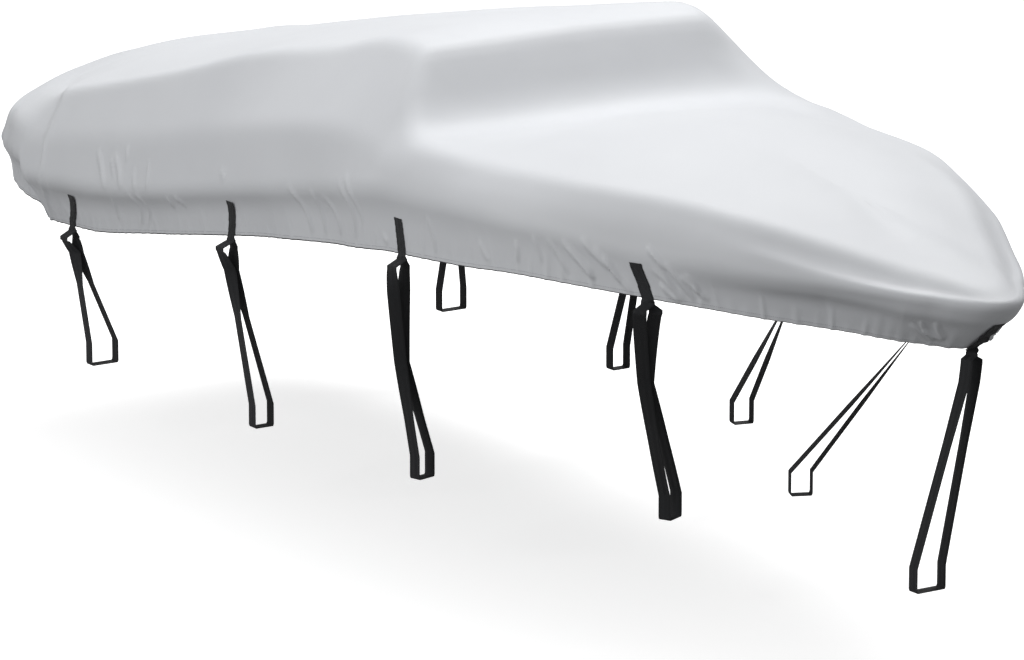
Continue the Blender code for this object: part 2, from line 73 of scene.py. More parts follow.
# The shell is a row of profiles in upright planes that fan round the stern and the bow.
# Each row of PROFILES holds, for the starboard half:
#   spine                 x of the profile's inner end, on the centreline
#   x_hem, y_hem, z_hem   its outer end on the hem (y_hem is the distance to starboard)
#   out, z_gun            how far the gunwale stands outside the hem, and its height
#   f_side, z_side        the cheek above the gunwale, as a share of the gunwale's reach
#   f_edge, z_edge        the edge of the top, as a share of the gunwale's reach
#   skew                  by how much that edge lies further out to starboard, and further
#                         in to port
#   r_edge                how far that edge is rounded off
#   z_crown, z_mid        height half way in from that edge, and on the centreline
Profile = namedtuple(
    "Profile",
    "spine x_hem y_hem z_hem out z_gun f_side z_side f_edge z_edge skew r_edge z_crown z_mid",
)
PROFILES = [
    (-2.267, -2.76, 0.0, -0.846, 0.087, -0.742, 0.97, -0.641, 0.8, -0.557, 0.0, 0.07, -0.474, -0.419),
    (-2.23, -2.76, 0.366, -0.852, 0.098, -0.749, 0.97, -0.648, 0.8, -0.546, 0.0, 0.07, -0.467, -0.41),
    (-2.175, -2.724, 0.658, -0.889, 0.12, -0.78, 0.97, -0.679, 0.82, -0.589, 0.0, 0.06, -0.451, -0.398),
    (-2.084, -2.602, 0.936, -1.02, 0.049, -0.86, 0.97, -0.722, 0.84, -0.625, 0.0, 0.05, -0.437, -0.377),
    (-2.06, -2.49, 0.938, -1.062, 0.08, -0.87, 0.97, -0.735, 0.84, -0.615, 0.0, 0.045, -0.431, -0.371),
    (-2.03, -2.385, 0.936, -1.078, 0.106, -0.885, 0.965, -0.752, 0.84, -0.6, 0.0, 0.045, -0.425, -0.366),
    (-2.011, -2.331, 0.932, -1.129, 0.119, -0.941, 0.96, -0.772, 0.84, -0.585, 0.0, 0.04, -0.419, -0.361),
    (-1.828, -1.965, 0.951, -1.106, 0.098, -0.914, 0.95, -0.713, 0.82, -0.495, 0.0, 0.03, -0.383, -0.327),
    (-1.417, -1.417, 0.978, -1.019, 0.082, -0.841, 0.94, -0.612, 0.78, -0.355, 0.0, 0.03, -0.277, -0.239),
    (-0.914, -0.914, 0.996, -0.927, 0.068, -0.74, 0.93, -0.502, 0.73, -0.206, 0.0, 0.035, -0.153, -0.134),
    (-0.411, -0.411, 1.005, -0.841, 0.068, -0.64, 0.93, -0.397, 0.69, -0.106, 0.0, 0.045, -0.055, -0.045),
    (0.018, 0.018, 1.005, -0.786, 0.064, -0.557, 0.93, -0.338, 0.64, -0.012, 0.0, 0.05, 0.0053, 0.0033),
    (0.16, 0.16, 1.005, -0.772, 0.055, -0.53, 0.925, -0.345, 0.635, -0.022, 0.015, 0.06, -0.016, -0.008),
    (0.29, 0.29, 1.005, -0.755, 0.05, -0.512, 0.93, -0.36, 0.7, -0.16, 0.055, 0.09, -0.15, -0.142),
    (0.42, 0.42, 1.005, -0.738, 0.046, -0.493, 0.955, -0.385, 0.8, -0.309, 0.06, 0.09, -0.308, -0.304),
    (0.56, 0.58, 1.005, -0.726, 0.037, -0.488, 0.965, -0.395, 0.85, -0.322, 0.05, 0.055, -0.302, -0.291),
    (0.823, 0.887, 0.983, -0.708, 0.031, -0.485, 0.965, -0.415, 0.825, -0.343, 0.055, 0.045, -0.259, -0.242),
    (1.143, 1.298, 0.914, -0.681, 0.027, -0.492, 0.965, -0.41, 0.82, -0.336, 0.06, 0.045, -0.245, -0.225),
    (1.481, 1.737, 0.759, -0.69, 0.012, -0.531, 0.965, -0.425, 0.83, -0.342, 0.04, 0.045, -0.269, -0.256),
    (1.755, 2.102, 0.562, -0.713, 0.055, -0.532, 0.96, -0.468, 0.82, -0.372, 0.02, 0.045, -0.313, -0.3),
    (1.938, 2.395, 0.338, -0.74, 0.107, -0.551, 0.95, -0.518, 0.814, -0.436, 0.01, 0.045, -0.356, -0.333),
    (2.047, 2.622, 0.165, -0.764, 0.154, -0.563, 0.95, -0.55, 0.834, -0.492, 0.0, 0.05, -0.407, -0.362),
    (2.093, 2.744, 0.0, -0.778, 0.232, -0.576, 0.95, -0.56, 0.88, -0.532, 0.0, 0.06, -0.429, -0.375),
]
ROUND_OFF = (0.050, 0.060, 0.046)   # the rounding at the skirt, the gunwale and the cheek
BOW_ROUND = 0.105          # the gunwale's rounding at the bow
BOW_FROM = (1.3, 2.2)      # it grows to that between these hem places
CROWN_ROUND = 0.23
BEND_STEPS = 13            # points along one rounded corner of a profile
BEND_MOST = 0.49           # a corner takes at most this share of the lines that meet there
SKEW_RISE = 0.27           # the edge stands higher by this share of its skew
SKIRT_LEVEL = 0.64         # the skirt is drawn in under the gunwale at this share of its height
SKIRT_SWELL = (0.30, 0.75)  # where it stands out by these shares of the gunwale's overhang
SWELL_OUT = (0.10, 0.14)   # for a gunwale with these overhangs, and in between
END_CROWD = 0.35           # above 0, the profiles stand closer at the stern and the bow
ROW_SPACE = 0.02           # least distance along the hem between two rows of the table
BOW_SLOPE = 1.3            # how blunt the bow is in plan
# Broad folds of the skirt: side is -1 for starboard and 1 for port, x is at the hem, and
# a fold leans aft as it rises.
Fold = namedtuple("Fold", "side x lean half_wide rise depth")
FOLDS = [
    Fold(-1, -1.846, 0.10, 0.128, 0.329, 0.009),
    Fold(-1, -1.389, 0.12, 0.137, 0.366, -0.008),
    Fold(-1, -0.274, 0.45, 0.137, 0.384, 0.011),
    Fold(-1, 0.046, 0.50, 0.146, 0.366, -0.009),
    Fold(-1, 1.261, 0.30, 0.137, 0.274, 0.009),
    Fold(-1, 2.029, 0.20, 0.128, 0.219, -0.008),
    Fold(1, -1.919, 0.12, 0.137, 0.347, -0.009),
    Fold(1, -1.143, 0.20, 0.146, 0.366, 0.008),
    Fold(1, -0.091, 0.40, 0.137, 0.384, 0.010),
    Fold(1, 0.868, 0.35, 0.146, 0.311, -0.009),
    Fold(1, 1.554, 0.25, 0.137, 0.256, 0.009),
]
FINE_STATIONS = 1152       # cross-sections along one side
LOW_STEP = {-1: 1, 1: 2}   # the skirt takes all of them to starboard, half to port
HIGH_STEP = 4              # the cloth above it and the lining take every fourth
LOW_RINGS = 26             # rings of the skirt, up to LOW_SHARE of a cross-section
LOW_SHARE = 0.24
HIGH_RINGS = 44            # rings above it
LINING_RINGS = 35
LINING_IN = 0.0060         # the lining lies this far inside the outer face
HEM_THICK = 0.0020


def smooth_rows(at, rows, wanted):
    """Read a table between its rows without overshoot (monotone cubic)."""
    gap = np.diff(at)
    rise = np.diff(rows, axis=0) / gap[:, None]
    slope = np.zeros_like(rows)
    before = (2 * gap[1:] + gap[:-1])[:, None]
    after = (gap[1:] + 2 * gap[:-1])[:, None]
    same = rise[:-1] * rise[1:] > 0
    safe_a = np.where(same, rise[:-1], 1.0)
    safe_b = np.where(same, rise[1:], 1.0)
    mean = (before + after) / (before / safe_a + after / safe_b)
    slope[1:-1] = np.where(same, mean, 0.0)
    across = Profile._fields.index("y_hem")
    slope[0, across] = rise[0, across]
    slope[-1, across] = BOW_SLOPE * rise[-1, across]
    k = np.clip(np.searchsorted(at, wanted, side="right") - 1, 0, len(at) - 2)
    t = ((wanted - at[k]) / gap[k])[:, None]
    h = gap[k][:, None]
    start = (2 * t**3 - 3 * t**2 + 1) * rows[k] + (t**3 - 2 * t**2 + t) * h * slope[k]
    end = (-2 * t**3 + 3 * t**2) * rows[k + 1] + (t**3 - t**2) * h * slope[k + 1]
    return start + end


def hem_lengths():
    """How far along the hem each row of PROFILES stands."""
    rows = np.array(PROFILES)
    steps = np.hypot(np.diff(rows[:, 1]), np.diff(rows[:, 2])) + ROW_SPACE
    return np.concatenate([[0.0], np.cumsum(steps)])


def profile_rows(count):
    """The table read at stations that stand closer at the stern and the bow."""
    at = hem_lengths()
    share = np.linspace(0.0, 1.0, count)
    share -= END_CROWD * np.sin(2.0 * np.pi * share) / (2.0 * np.pi)
    return at[-1] * share, smooth_rows(at, np.array(PROFILES), at[-1] * share)


def rounded_line(corners, p, shares):
    """Points at shares of the length of a line whose corners are rounded off."""
    corners = np.array(corners)
    gunwale = float(np.interp(p.x_hem, BOW_FROM, (ROUND_OFF[1], BOW_ROUND)))
    radii = (0.0, ROUND_OFF[0], gunwale, ROUND_OFF[2], p.r_edge, CROWN_ROUND)
    line = [corners[0]]
    for k in range(1, len(corners) - 1):
        step_back = corners[k - 1] - corners[k]
        step_on = corners[k + 1] - corners[k]
        back_long = np.linalg.norm(step_back)
        on_long = np.linalg.norm(step_on)
        cut = min(radii[k], BEND_MOST * back_long, BEND_MOST * on_long)
        start = corners[k] + step_back / back_long * cut
        end = corners[k] + step_on / on_long * cut
        for t in np.linspace(0.0, 1.0, BEND_STEPS):
            line.append((1 - t) ** 2 * start + 2 * t * (1 - t) * corners[k] + t * t * end)
    line.append(corners[-1])
    line = np.array(line)
    run = np.concatenate([[0.0], np.cumsum(np.linalg.norm(np.diff(line, axis=0), axis=1))])
    points = np.stack([np.interp(run[-1] * shares, run, line[:, j]) for j in range(2)], -1)
    return points, run[-1] * shares


def fold_push(x, z, z_hem, side):
    """How far the broad folds move the skirt outwards."""
    push = np.zeros_like(x)
    up = z - z_hem
    for fold in FOLDS:
        if fold.side == side:
            off = (x - fold.x + fold.lean * up) / fold.half_wide
            fade = np.cos(0.5 * np.pi * np.clip(up / fold.rise, 0.0, 1.0))
            push += fold.depth * np.where(up >= 0.0, fade, 0.0) * np.exp(-off * off)
    return push


def cover_grid(rows, shares, side):
    """Points of one half of the cover, and how far each stands up from the hem."""
    points = np.zeros((len(rows), len(shares), 3))
    heights = np.zeros((len(rows), len(shares)))
    for i, row in enumerate(rows):
        p = Profile(*row)
        along = np.array([p.x_hem - p.spine, side * p.y_hem])
        reach = np.linalg.norm(along)
        along /= reach
        wide = reach + p.out
        swell = float(np.interp(p.out, SWELL_OUT, SKIRT_SWELL))
        f_edge = p.f_edge - side * p.skew
        corners = [
            (reach, p.z_hem),
            (reach + p.out * swell, p.z_hem + SKIRT_LEVEL * (p.z_gun - p.z_hem)),
            (wide, p.z_gun),
            (wide * p.f_side, p.z_side),
            (wide * f_edge, p.z_edge - side * SKEW_RISE * p.skew),
            (wide * f_edge * 0.5, p.z_crown),
            (0.0, p.z_mid),
        ]
        line, heights[i] = rounded_line(corners, p, shares)
        r, z = line[:, 0], line[:, 1]
        push = np.where(r > 0.5 * wide, fold_push(p.spine + along[0] * r, z, p.z_hem, side), 0.0)
        points[i] = np.stack([p.spine + along[0] * (r + push), along[1] * (r + push), z], -1)
    return points, heights


# Short creases of the skirt. Each runs through three points: how far along the hem from
# the stern, and how far up from the hem; then its half width and its height.
Crease = namedtuple("Crease", "along_a up_a along_b up_b along_c up_c half_wide high")
CREASES = [
    Crease(1.93, 0.374, 2.02, 0.278, 2.06, 0.205, 0.012, 0.0086),
    Crease(2.06, 0.335, 2.10, 0.297, 2.12, 0.260, 0.010, 0.0069),
    Crease(2.08, 0.356, 2.16, 0.278, 2.19, 0.206, 0.012, 0.0086),
    Crease(2.18, 0.390, 2.19, 0.358, 2.20, 0.326, 0.010, 0.0069),
    Crease(2.38, 0.324, 2.40, 0.276, 2.40, 0.206, 0.010, 0.0069),
    Crease(2.27, 0.294, 2.29, 0.245, 2.31, 0.197, 0.010, 0.0069),
    Crease(2.21, 0.215, 2.27, 0.139, 2.22, 0.024, 0.010, 0.0069),
    Crease(2.26, 0.215, 2.34, 0.112, 2.27, 0.024, 0.010, 0.0069),
    Crease(2.08, 0.163, 2.06, 0.112, 2.06, 0.060, 0.010, 0.0069),
    Crease(2.62, 0.168, 2.66, 0.144, 2.68, 0.119, 0.010, 0.0069),
    Crease(2.56, 0.170, 2.57, 0.142, 2.57, 0.113, 0.010, 0.0069),
    Crease(3.00, 0.285, 3.03, 0.262, 3.06, 0.239, 0.010, 0.0069),
    Crease(3.55, 0.241, 3.60, 0.192, 3.66, 0.025, 0.012, 0.0091),
    Crease(3.72, 0.229, 3.74, 0.127, 3.75, 0.031, 0.012, 0.0086),
    Crease(3.79, 0.200, 3.86, 0.123, 3.87, 0.028, 0.011, 0.0086),
    Crease(3.93, 0.271, 4.01, 0.132, 4.00, 0.030, 0.013, 0.0098),
    Crease(3.97, 0.296, 4.05, 0.189, 4.08, 0.090, 0.012, 0.0086),
    Crease(4.23, 0.060, 4.25, 0.045, 4.28, 0.030, 0.010, 0.0069),
    Crease(4.58, 0.175, 4.61, 0.100, 4.62, 0.026, 0.010, 0.0069),
    Crease(4.90, 0.111, 4.92, 0.069, 4.96, 0.027, 0.010, 0.0069),
    Crease(5.11, 0.131, 5.12, 0.088, 5.12, 0.046, 0.010, 0.0069),
    Crease(5.21, 0.163, 5.23, 0.113, 5.25, 0.062, 0.010, 0.0069),
    Crease(5.28, 0.161, 5.33, 0.100, 5.38, 0.039, 0.010, 0.0069),
    Crease(5.35, 0.161, 5.42, 0.098, 5.50, 0.034, 0.012, 0.0105),
    Crease(5.38, 0.146, 5.45, 0.086, 5.50, 0.027, 0.010, 0.0069),
    Crease(5.44, 0.185, 5.50, 0.132, 5.57, 0.079, 0.012, 0.0105),
    Crease(5.50, 0.161, 5.62, 0.045, 5.67, 0.002, 0.011, 0.0105),
    Crease(5.54, 0.136, 5.58, 0.087, 5.62, 0.037, 0.010, 0.0069),
    Crease(5.73, 0.192, 5.78, 0.158, 5.83, 0.123, 0.011, 0.0105),
    Crease(5.75, 0.121, 5.83, 0.069, 5.90, 0.016, 0.010, 0.0069),
    Crease(5.78, 0.141, 5.85, 0.047, 5.88, 0.002, 0.010, 0.0069),
    Crease(5.79, 0.064, 5.83, 0.035, 5.88, 0.006, 0.012, 0.0105),
    Crease(5.82, 0.148, 5.88, 0.084, 5.94, 0.020, 0.011, 0.0105),
    Crease(5.88, 0.111, 5.94, 0.069, 6.00, 0.026, 0.010, 0.0098),
    Crease(5.90, 0.123, 5.94, 0.086, 5.96, 0.050, 0.010, 0.0069),
    Crease(6.83, 0.088, 6.87, 0.065, 6.92, 0.041, 0.010, 0.0069),
    Crease(6.81, 0.138, 6.84, 0.085, 6.89, 0.030, 0.009, 0.0088),
    Crease(6.78, 0.105, 6.83, 0.062, 6.87, 0.022, 0.009, 0.0072),
    Crease(6.86, 0.150, 6.88, 0.105, 6.92, 0.050, 0.010, 0.0072),
]
PORT_SHIFT = 0.17          # the port side's creases stand this far forward of these
CREASE_REACH = 0.3         # how far along the hem from its middle a crease is felt
CREASE_STEEP = 0.9         # a crease is steeper on one flank than on the other
# the seam between stern and side, from the top down: along the hem, and up from it
QUARTER = [
    (1.22, 0.690), (1.32, 0.655), (1.39, 0.612), (1.42, 0.555), (1.435, 0.489),
    (1.455, 0.415), (1.475, 0.345), (1.490, 0.282), (1.480, 0.200), (1.425, 0.110), (1.36, 0.0),
]
QUARTER_SPAN = (0.3, 2.0)  # the stretch of the hem that the seam's relief reaches
QUARTER_TOP = 0.67         # it has run out at this height, over QUARTER_FADE
QUARTER_FADE = 0.06
STERN_STEP = 0.011         # how much lower the stern lies at the seam
STERN_EASE = 0.16          # over how far that step eases off towards the stern
SIDE_EASE = 0.012          # and towards the side
SEAM_RIDGE = 0.0060
SEAM_RIDGE_AT = 0.026      # the ridge's distance forward of the seam
SEAM_RIDGE_WIDE = 0.016


def crease_height(along, up, side):
    """How far the creases stand out of the cloth; port has the same ones a little forward."""
    high = np.zeros_like(along)
    shift = 0.0 if side < 0 else PORT_SHIFT
    for c in CREASES:
        start = np.array([c.along_a + shift, c.up_a])
        run = np.array([c.along_c + shift, c.up_c]) - start
        middle = np.array([c.along_b + shift, c.up_b]) - start
        long = np.linalg.norm(run)
        run /= long
        bow = middle[0] * run[1] - middle[1] * run[0]
        near = np.abs(along - start[0] - 0.5 * run[0] * long) < CREASE_REACH
        da, du = along[near] - start[0], up[near] - start[1]
        t = (da * run[0] + du * run[1]) / long
        off = (da * run[1] - du * run[0]) - 4.0 * bow * t * (1.0 - t)
        ends = np.clip(1.0 - np.abs(2.0 * t - 1.0) ** 3, 0.0, 1.0)
        w = off / c.half_wide
        high[near] += c.high * ends * np.exp(-w * w) * (1.0 - CREASE_STEEP * w)
    return high


def quarter_height(along, up):
    """The seam at the quarter: a valley, a ridge before it and the stern a little lower."""
    high = np.zeros_like(along)
    near = (along > QUARTER_SPAN[0]) & (along < QUARTER_SPAN[1])
    a, u = along[near], up[near]
    best = np.full_like(a, np.inf)
    ahead = np.zeros_like(a)
    for (a0, u0), (a1, u1) in zip(QUARTER[:-1], QUARTER[1:]):
        long = math.hypot(a1 - a0, u1 - u0)
        t = np.clip(((a - a0) * (a1 - a0) + (u - u0) * (u1 - u0)) / long**2, 0.0, 1.0)
        gap = np.hypot(a - a0 - t * (a1 - a0), u - u0 - t * (u1 - u0))
        sign = np.sign((a - a0) * (u0 - u1) - (u - u0) * (a0 - a1))
        ahead = np.where(gap < best, sign, ahead)
        best = np.minimum(gap, best)
    d = best * ahead
    fade = np.clip((QUARTER_TOP - u) / QUARTER_FADE, 0.0, 1.0)
    step = np.where(d < 0.0, np.exp(-(d / STERN_EASE) ** 2), np.exp(-(d / SIDE_EASE) ** 2))
    ridge = SEAM_RIDGE * np.exp(-((d - SEAM_RIDGE_AT) / SEAM_RIDGE_WIDE) ** 2)
    high[near] = fade * (ridge - STERN_STEP * step)
    return high


# Least and most of each size of a gather: the step to the next, the height it reaches,
# its lean aft, half its width and how far it stands out.
Gathers = namedtuple("Gathers", "step rise lean half tall")
SKIRT_GATHERS = Gathers((0.035, 0.085), (0.05, 0.22), (-0.10, 0.25), (0.010, 0.022), (0.0012, 0.0048))
STERN_GATHERS = Gathers((0.018, 0.040), None, (-0.35, -0.05), (0.006, 0.012), (0.0022, 0.0064))
STERN_LONG = 1.50          # the stern's gathers fill this length of the hem, from the centreline
STERN_FOOT = 0.05          # they swell from this far below the hem
STERN_RISE = 0.33          # and have died out this much higher
GATHER_REACH = 0.2         # how far along the hem a gather is felt
GATHER_SEEDS = {-1: 41, 1: 43}


def gather_height(along, up, side):
    """Small gathers that the hem's elastic pulls into the lower skirt."""
    draw = np.random.default_rng(GATHER_SEEDS[side])
    high = np.zeros_like(along)
    total = along.max()
    place = 0.0
    while place < total:
        place += draw.uniform(*SKIRT_GATHERS.step)
        rise = draw.uniform(*SKIRT_GATHERS.rise)
        lean = draw.uniform(*SKIRT_GATHERS.lean)
        half = draw.uniform(*SKIRT_GATHERS.half)
        tall = draw.uniform(*SKIRT_GATHERS.tall)
        near = np.abs(along - place) < GATHER_REACH
        off = (along[near] - place + lean * up[near]) / half
        fade = np.cos(0.5 * np.pi * np.clip(up[near] / rise, 0.0, 1.0)) ** 2
        high[near] += tall * fade * np.exp(-off * off)
    # the stern's skirt is gathered more closely
    place = 0.0
    while place < STERN_LONG:
        place += draw.uniform(*STERN_GATHERS.step)
        lean = draw.uniform(*STERN_GATHERS.lean)
        tall = draw.uniform(*STERN_GATHERS.tall)
        half = draw.uniform(*STERN_GATHERS.half)
        near = np.abs(along - place) < GATHER_REACH
        off = (along[near] - place + lean * up[near]) / half
        fade = np.sin(np.pi * np.clip((up[near] + STERN_FOOT) / STERN_RISE, 0.0, 1.0)) ** 2
        high[near] += tall * fade * np.exp(-off * off)
    return high


# the boat's rub rail shows through towards the bow: along the hem, and up from it
RAIL = [
    (6.00, 0.258), (6.22, 0.254), (6.38, 0.245), (6.60, 0.234), (6.73, 0.234), (6.88, 0.244),
    (6.975, 0.262), (7.06, 0.272),
]
RAIL_GROWS = 0.35          # the ridge comes up over this length
RAIL_RIDGE = 0.0080
RAIL_HALF = 0.026
RAIL_VALLEY = 0.0015
VALLEY_UP = 0.075          # the valley's height above the ridge
VALLEY_HALF = 0.035
TIP_LONG = 0.16            # the ridge runs out over this length at the very tip
TIP_LEAST = 0.35           # down to this share
# and the skirt bellies out under it, about this far up from the hem
BELLY = [(5.60, 0.105), (6.13, 0.140), (6.52, 0.166), (6.84, 0.190), (7.06, 0.225)]
BELLY_GROWS = 0.70
BELLY_OUT = 0.015
BELLY_HALF = 0.045


def rail_height(along, up):
    """The soft ridge over the rub rail, the valley above it and the belly under it."""
    over = up - np.interp(along, [a for a, _ in RAIL], [u for _, u in RAIL])
    under = up - np.interp(along, [a for a, _ in BELLY], [u for _, u in BELLY])
    grown = np.clip((along - RAIL[0][0]) / RAIL_GROWS, 0.0, 1.0)
    grown = grown * grown * (3.0 - 2.0 * grown)
    filled = np.clip((along - BELLY[0][0]) / BELLY_GROWS, 0.0, 1.0)
    ridge = RAIL_RIDGE * np.exp(-((over / RAIL_HALF) ** 2))
    valley = RAIL_VALLEY * np.exp(-(((over - VALLEY_UP) / VALLEY_HALF) ** 2))
    belly = BELLY_OUT * np.exp(-((under / BELLY_HALF) ** 2))
    # at the very tip the ridge runs out, so that the bow stays round
    tip = np.clip((RAIL[-1][0] - along) / TIP_LONG, TIP_LEAST, 1.0)
    return tip * (grown * (ridge - valley) + filled * belly)


HEM_STANDS = 0.0010        # the doubled hem stands out by this
HEM_DOUBLED = 0.022        # up to this height, and is level with the cloth HEM_EASE higher
HEM_EASE = 0.006


def relief(along, up, side):
    """How far the small folds and the doubled hem stand out of the cloth."""
    hem = HEM_STANDS * (1.0 - np.clip((up - HEM_DOUBLED) / HEM_EASE, 0.0, 1.0))
    folds = crease_height(along, up, side) + gather_height(along, up, side)
    return hem + folds + quarter_height(along, up) + rail_height(along, up)


FOOT_X = 0.55              # x at the hem of the profile through the windscreen's foot
FOOT_BLEND = 0.075         # spread, along the hem, of the heights that are averaged
FOOT_SPAN = 0.7            # nothing changes further than this from FOOT_X
FOOT_FADE = 0.4            # and the change fades out over this outer share of it
FOOT_SAMPLES = 1401        # even places along the hem where the heights are averaged
FOOT_WINDOW = 120          # how many of them to either side count


def soften_foot(at, rows):
    """Let the cloth bridge the hollow at the windscreen's foot."""
    columns = [Profile._fields.index(name) for name in ("z_edge", "z_crown", "z_mid")]
    grid = np.linspace(at[0], at[-1], FOOT_SAMPLES)
    reach = np.arange(-FOOT_WINDOW, FOOT_WINDOW + 1) * (grid[1] - grid[0])
    weigh = np.exp(-0.5 * (reach / FOOT_BLEND) ** 2)
    weigh /= weigh.sum()
    for column in columns:
        even = np.interp(grid, at, rows[:, column])
        padded = np.pad(even, FOOT_WINDOW, mode="edge")
        eased = np.convolve(padded, weigh, "valid")
        off = np.abs(np.interp(grid, at, rows[:, 1]) - FOOT_X)
        near = np.clip(1.0 - off / FOOT_SPAN, 0.0, 1.0)
        lift = np.maximum(eased - even, 0.0) * np.clip(near / FOOT_FADE, 0.0, 1.0)
        rows[:, column] += np.interp(at, grid, lift)


FILL_FROM = 1.90           # the spine's place where the filling of the foredeck starts
FILL_LONG = 0.19
FILL_HIGH = 0.017


def fill_foredeck(rows):
    """Carry the centreline of the foredeck straight on to the bow, without a hollow."""
    share = np.clip((rows[:, 0] - FILL_FROM) / FILL_LONG, 0.0, 1.0)
    rows[:, Profile._fields.index("z_mid")] += FILL_HIGH * share * share * (3.0 - 2.0 * share)


hem_at, fine_rows = profile_rows(FINE_STATIONS + 1)
soften_foot(hem_at, fine_rows)
fill_foredeck(fine_rows)
RING_BIAS = 1.12           # above 1, the rings stand closer together near the hem
HEM_SHADOW_SHARE = 0.0030     # the first ring is the upper edge of the near-black hem band, a painted shadow
low = LOW_SHARE * np.linspace(0.0, 1.0, LOW_RINGS + 1) ** RING_BIAS
low[1] = HEM_SHADOW_SHARE
high = LOW_SHARE + (1.0 - LOW_SHARE) * np.linspace(0.0, 1.0, HIGH_RINGS + 1)[1:]
ring_shares = np.concatenate([low, high])
last_ring = len(ring_shares) - 1
cover_bm = bmesh.new()
cover_uv = cover_bm.loops.layers.uv.new("cloth")
cloth_at = {}


def add_vertex(point, along, up):
    """A vertex of the cover, with its place on the cloth in metres."""
    made = cover_bm.verts.new(point)
    cloth_at[made] = (along, up)
    return made


def add_face(*corners):
    made = cover_bm.faces.new(corners)
    for loop in made.loops:
        loop[cover_uv].uv = cloth_at[loop.vert]
    return made


outer = {}
outer_relief = {}
painted_shadow_faces = []
for side in (-1, 1):
    points, heights = cover_grid(fine_rows, ring_shares, side)
    raised = relief(np.repeat(hem_at[:, None], len(ring_shares), 1), heights, side)
    grid = {}
    for i in range(FINE_STATIONS + 1):
        for j in range(last_ring + 1):
            if i % (HIGH_STEP if j > LOW_RINGS else LOW_STEP[side]):
                continue
            shared = side > 0 and (i in (0, FINE_STATIONS) or j == last_ring)
            if shared:
                grid[i, j] = outer[-1][i, j]
                continue
            grid[i, j] = add_vertex(points[i, j], hem_at[i], heights[i, j])
            outer_relief[grid[i, j]] = raised[i, j]
    outer[side] = grid
    ahead = LOW_STEP[side]
    for i in range(0, FINE_STATIONS, ahead):
        for j in range(LOW_RINGS):
            face = add_face(grid[i, j], grid[i + ahead, j], grid[i + ahead, j + 1], grid[i, j + 1])
            if j == 0:
                painted_shadow_faces.append(face)
    for i in range(0, FINE_STATIONS, HIGH_STEP):
        lower = [grid[i + k, LOW_RINGS] for k in range(0, HIGH_STEP + 1, ahead)]
        c, d = grid[i, LOW_RINGS + 1], grid[i + HIGH_STEP, LOW_RINGS + 1]
        half = len(lower) // 2
        for k in range(len(lower) - 1):
            add_face(lower[k], lower[k + 1], c if k < half else d)
        add_face(lower[half], d, c)
        for j in range(LOW_RINGS + 1, last_ring):
            add_face(grid[i, j], grid[i + HIGH_STEP, j], grid[i + HIGH_STEP, j + 1], grid[i, j + 1])
bmesh.ops.recalc_face_normals(cover_bm, faces=cover_bm.faces)
top_face = max(cover_bm.faces, key=lambda face: face.calc_center_median().z)
if top_face.normal.z < 0.0:
    bmesh.ops.reverse_faces(cover_bm, faces=cover_bm.faces)
cover_bm.normal_update()
base_at = {v: v.co.copy() for v in cover_bm.verts}
base_normal = {v: v.normal.copy() for v in cover_bm.verts}
for v, raised in outer_relief.items():
    v.co = base_at[v] + base_normal[v] * float(raised)

# The lining is the same cloth seen from below, a little inside the outer face. It lies
# deeper along the quarter's seam, where the outer face has its valley.
SEAM_ALONG = 1.3
SEAM_HALF = 0.42
SEAM_DEEPER = 0.013
lining_faces = []
for side in (-1, 1):
    picked = [round(k * last_ring / LINING_RINGS) for k in range(LINING_RINGS + 1)]
    inner = {}
    for i in range(0, FINE_STATIONS + 1, HIGH_STEP):
        for n, j in enumerate(picked):
            source = outer[side][i, j]
            if side > 0 and source is outer[-1][i, j]:
                inner[i, n] = lining[i, n]
                continue
            seam = math.exp(-(((cloth_at[source][0] - SEAM_ALONG) / SEAM_HALF) ** 2))
            inward = HEM_THICK if n == 0 else LINING_IN + SEAM_DEEPER * seam
            place = base_at[source] - base_normal[source] * inward
            inner[i, n] = add_vertex(place, *cloth_at[source])
    lining = inner if side < 0 else lining
    for i in range(0, FINE_STATIONS, HIGH_STEP):
        near, far = i, i + HIGH_STEP
        for n in range(LINING_RINGS):
            lining_faces.append(add_face(
                inner[near, n + 1], inner[far, n + 1], inner[far, n], inner[near, n]
            ))
        middle = i + HIGH_STEP // 2
        for k in range(near, far, LOW_STEP[side]):
            a, b = outer[side][k, 0], outer[side][k + LOW_STEP[side], 0]
            painted_shadow_faces.append(add_face(b, a, inner[near if k < middle else far, 0]))
        painted_shadow_faces.append(add_face(outer[side][middle, 0], inner[near, 0], inner[far, 0]))
for face in lining_faces:
    face.material_index = 1
# the hem's edge and its lowest strip take the near-black painted hem shadow
for face in painted_shadow_faces:
    face.material_index = 2
bmesh.ops.recalc_face_normals(cover_bm, faces=cover_bm.faces)
if cover_bm.calc_volume(signed=True) < 0.0:
    bmesh.ops.reverse_faces(cover_bm, faces=cover_bm.faces)
cover_mesh = bpy.data.meshes.new("cover_cloth")
cover_bm.to_mesh(cover_mesh)
cover_bm.free()
cover_mesh.shade_smooth()
cover_mesh.set_sharp_from_angle(angle=math.radians(60.0))
cover = bpy.data.objects.new("cover_cloth", cover_mesh)
bpy.context.scene.collection.objects.link(cover)


def linear(code):
    """An sRGB hex colour as linear red, green, blue and alpha."""
    parts = [int(code[k:k + 2], 16) / 255.0 for k in (1, 3, 5)]
    return (*(c / 12.92 if c <= 0.04045 else ((c + 0.055) / 1.055) ** 2.4 for c in parts), 1.0)


def node(tree, kind, inputs=None, **settings):
    """Add a node: its properties, and for each input a number or another node's output."""
    made = tree.nodes.new(kind)
    for name, value in settings.items():
        setattr(made, name, value)
    for name, value in (inputs or {}).items():
        if isinstance(value, bpy.types.NodeSocket):
            tree.links.new(value, made.inputs[name])
        else:
            made.inputs[name].default_value = value
    return made


def new_material(name):
    """A material, its node tree and its shader."""
    made = bpy.data.materials.new(name)
    made.use_nodes = True
    return made, made.node_tree, made.node_tree.nodes["Principled BSDF"]


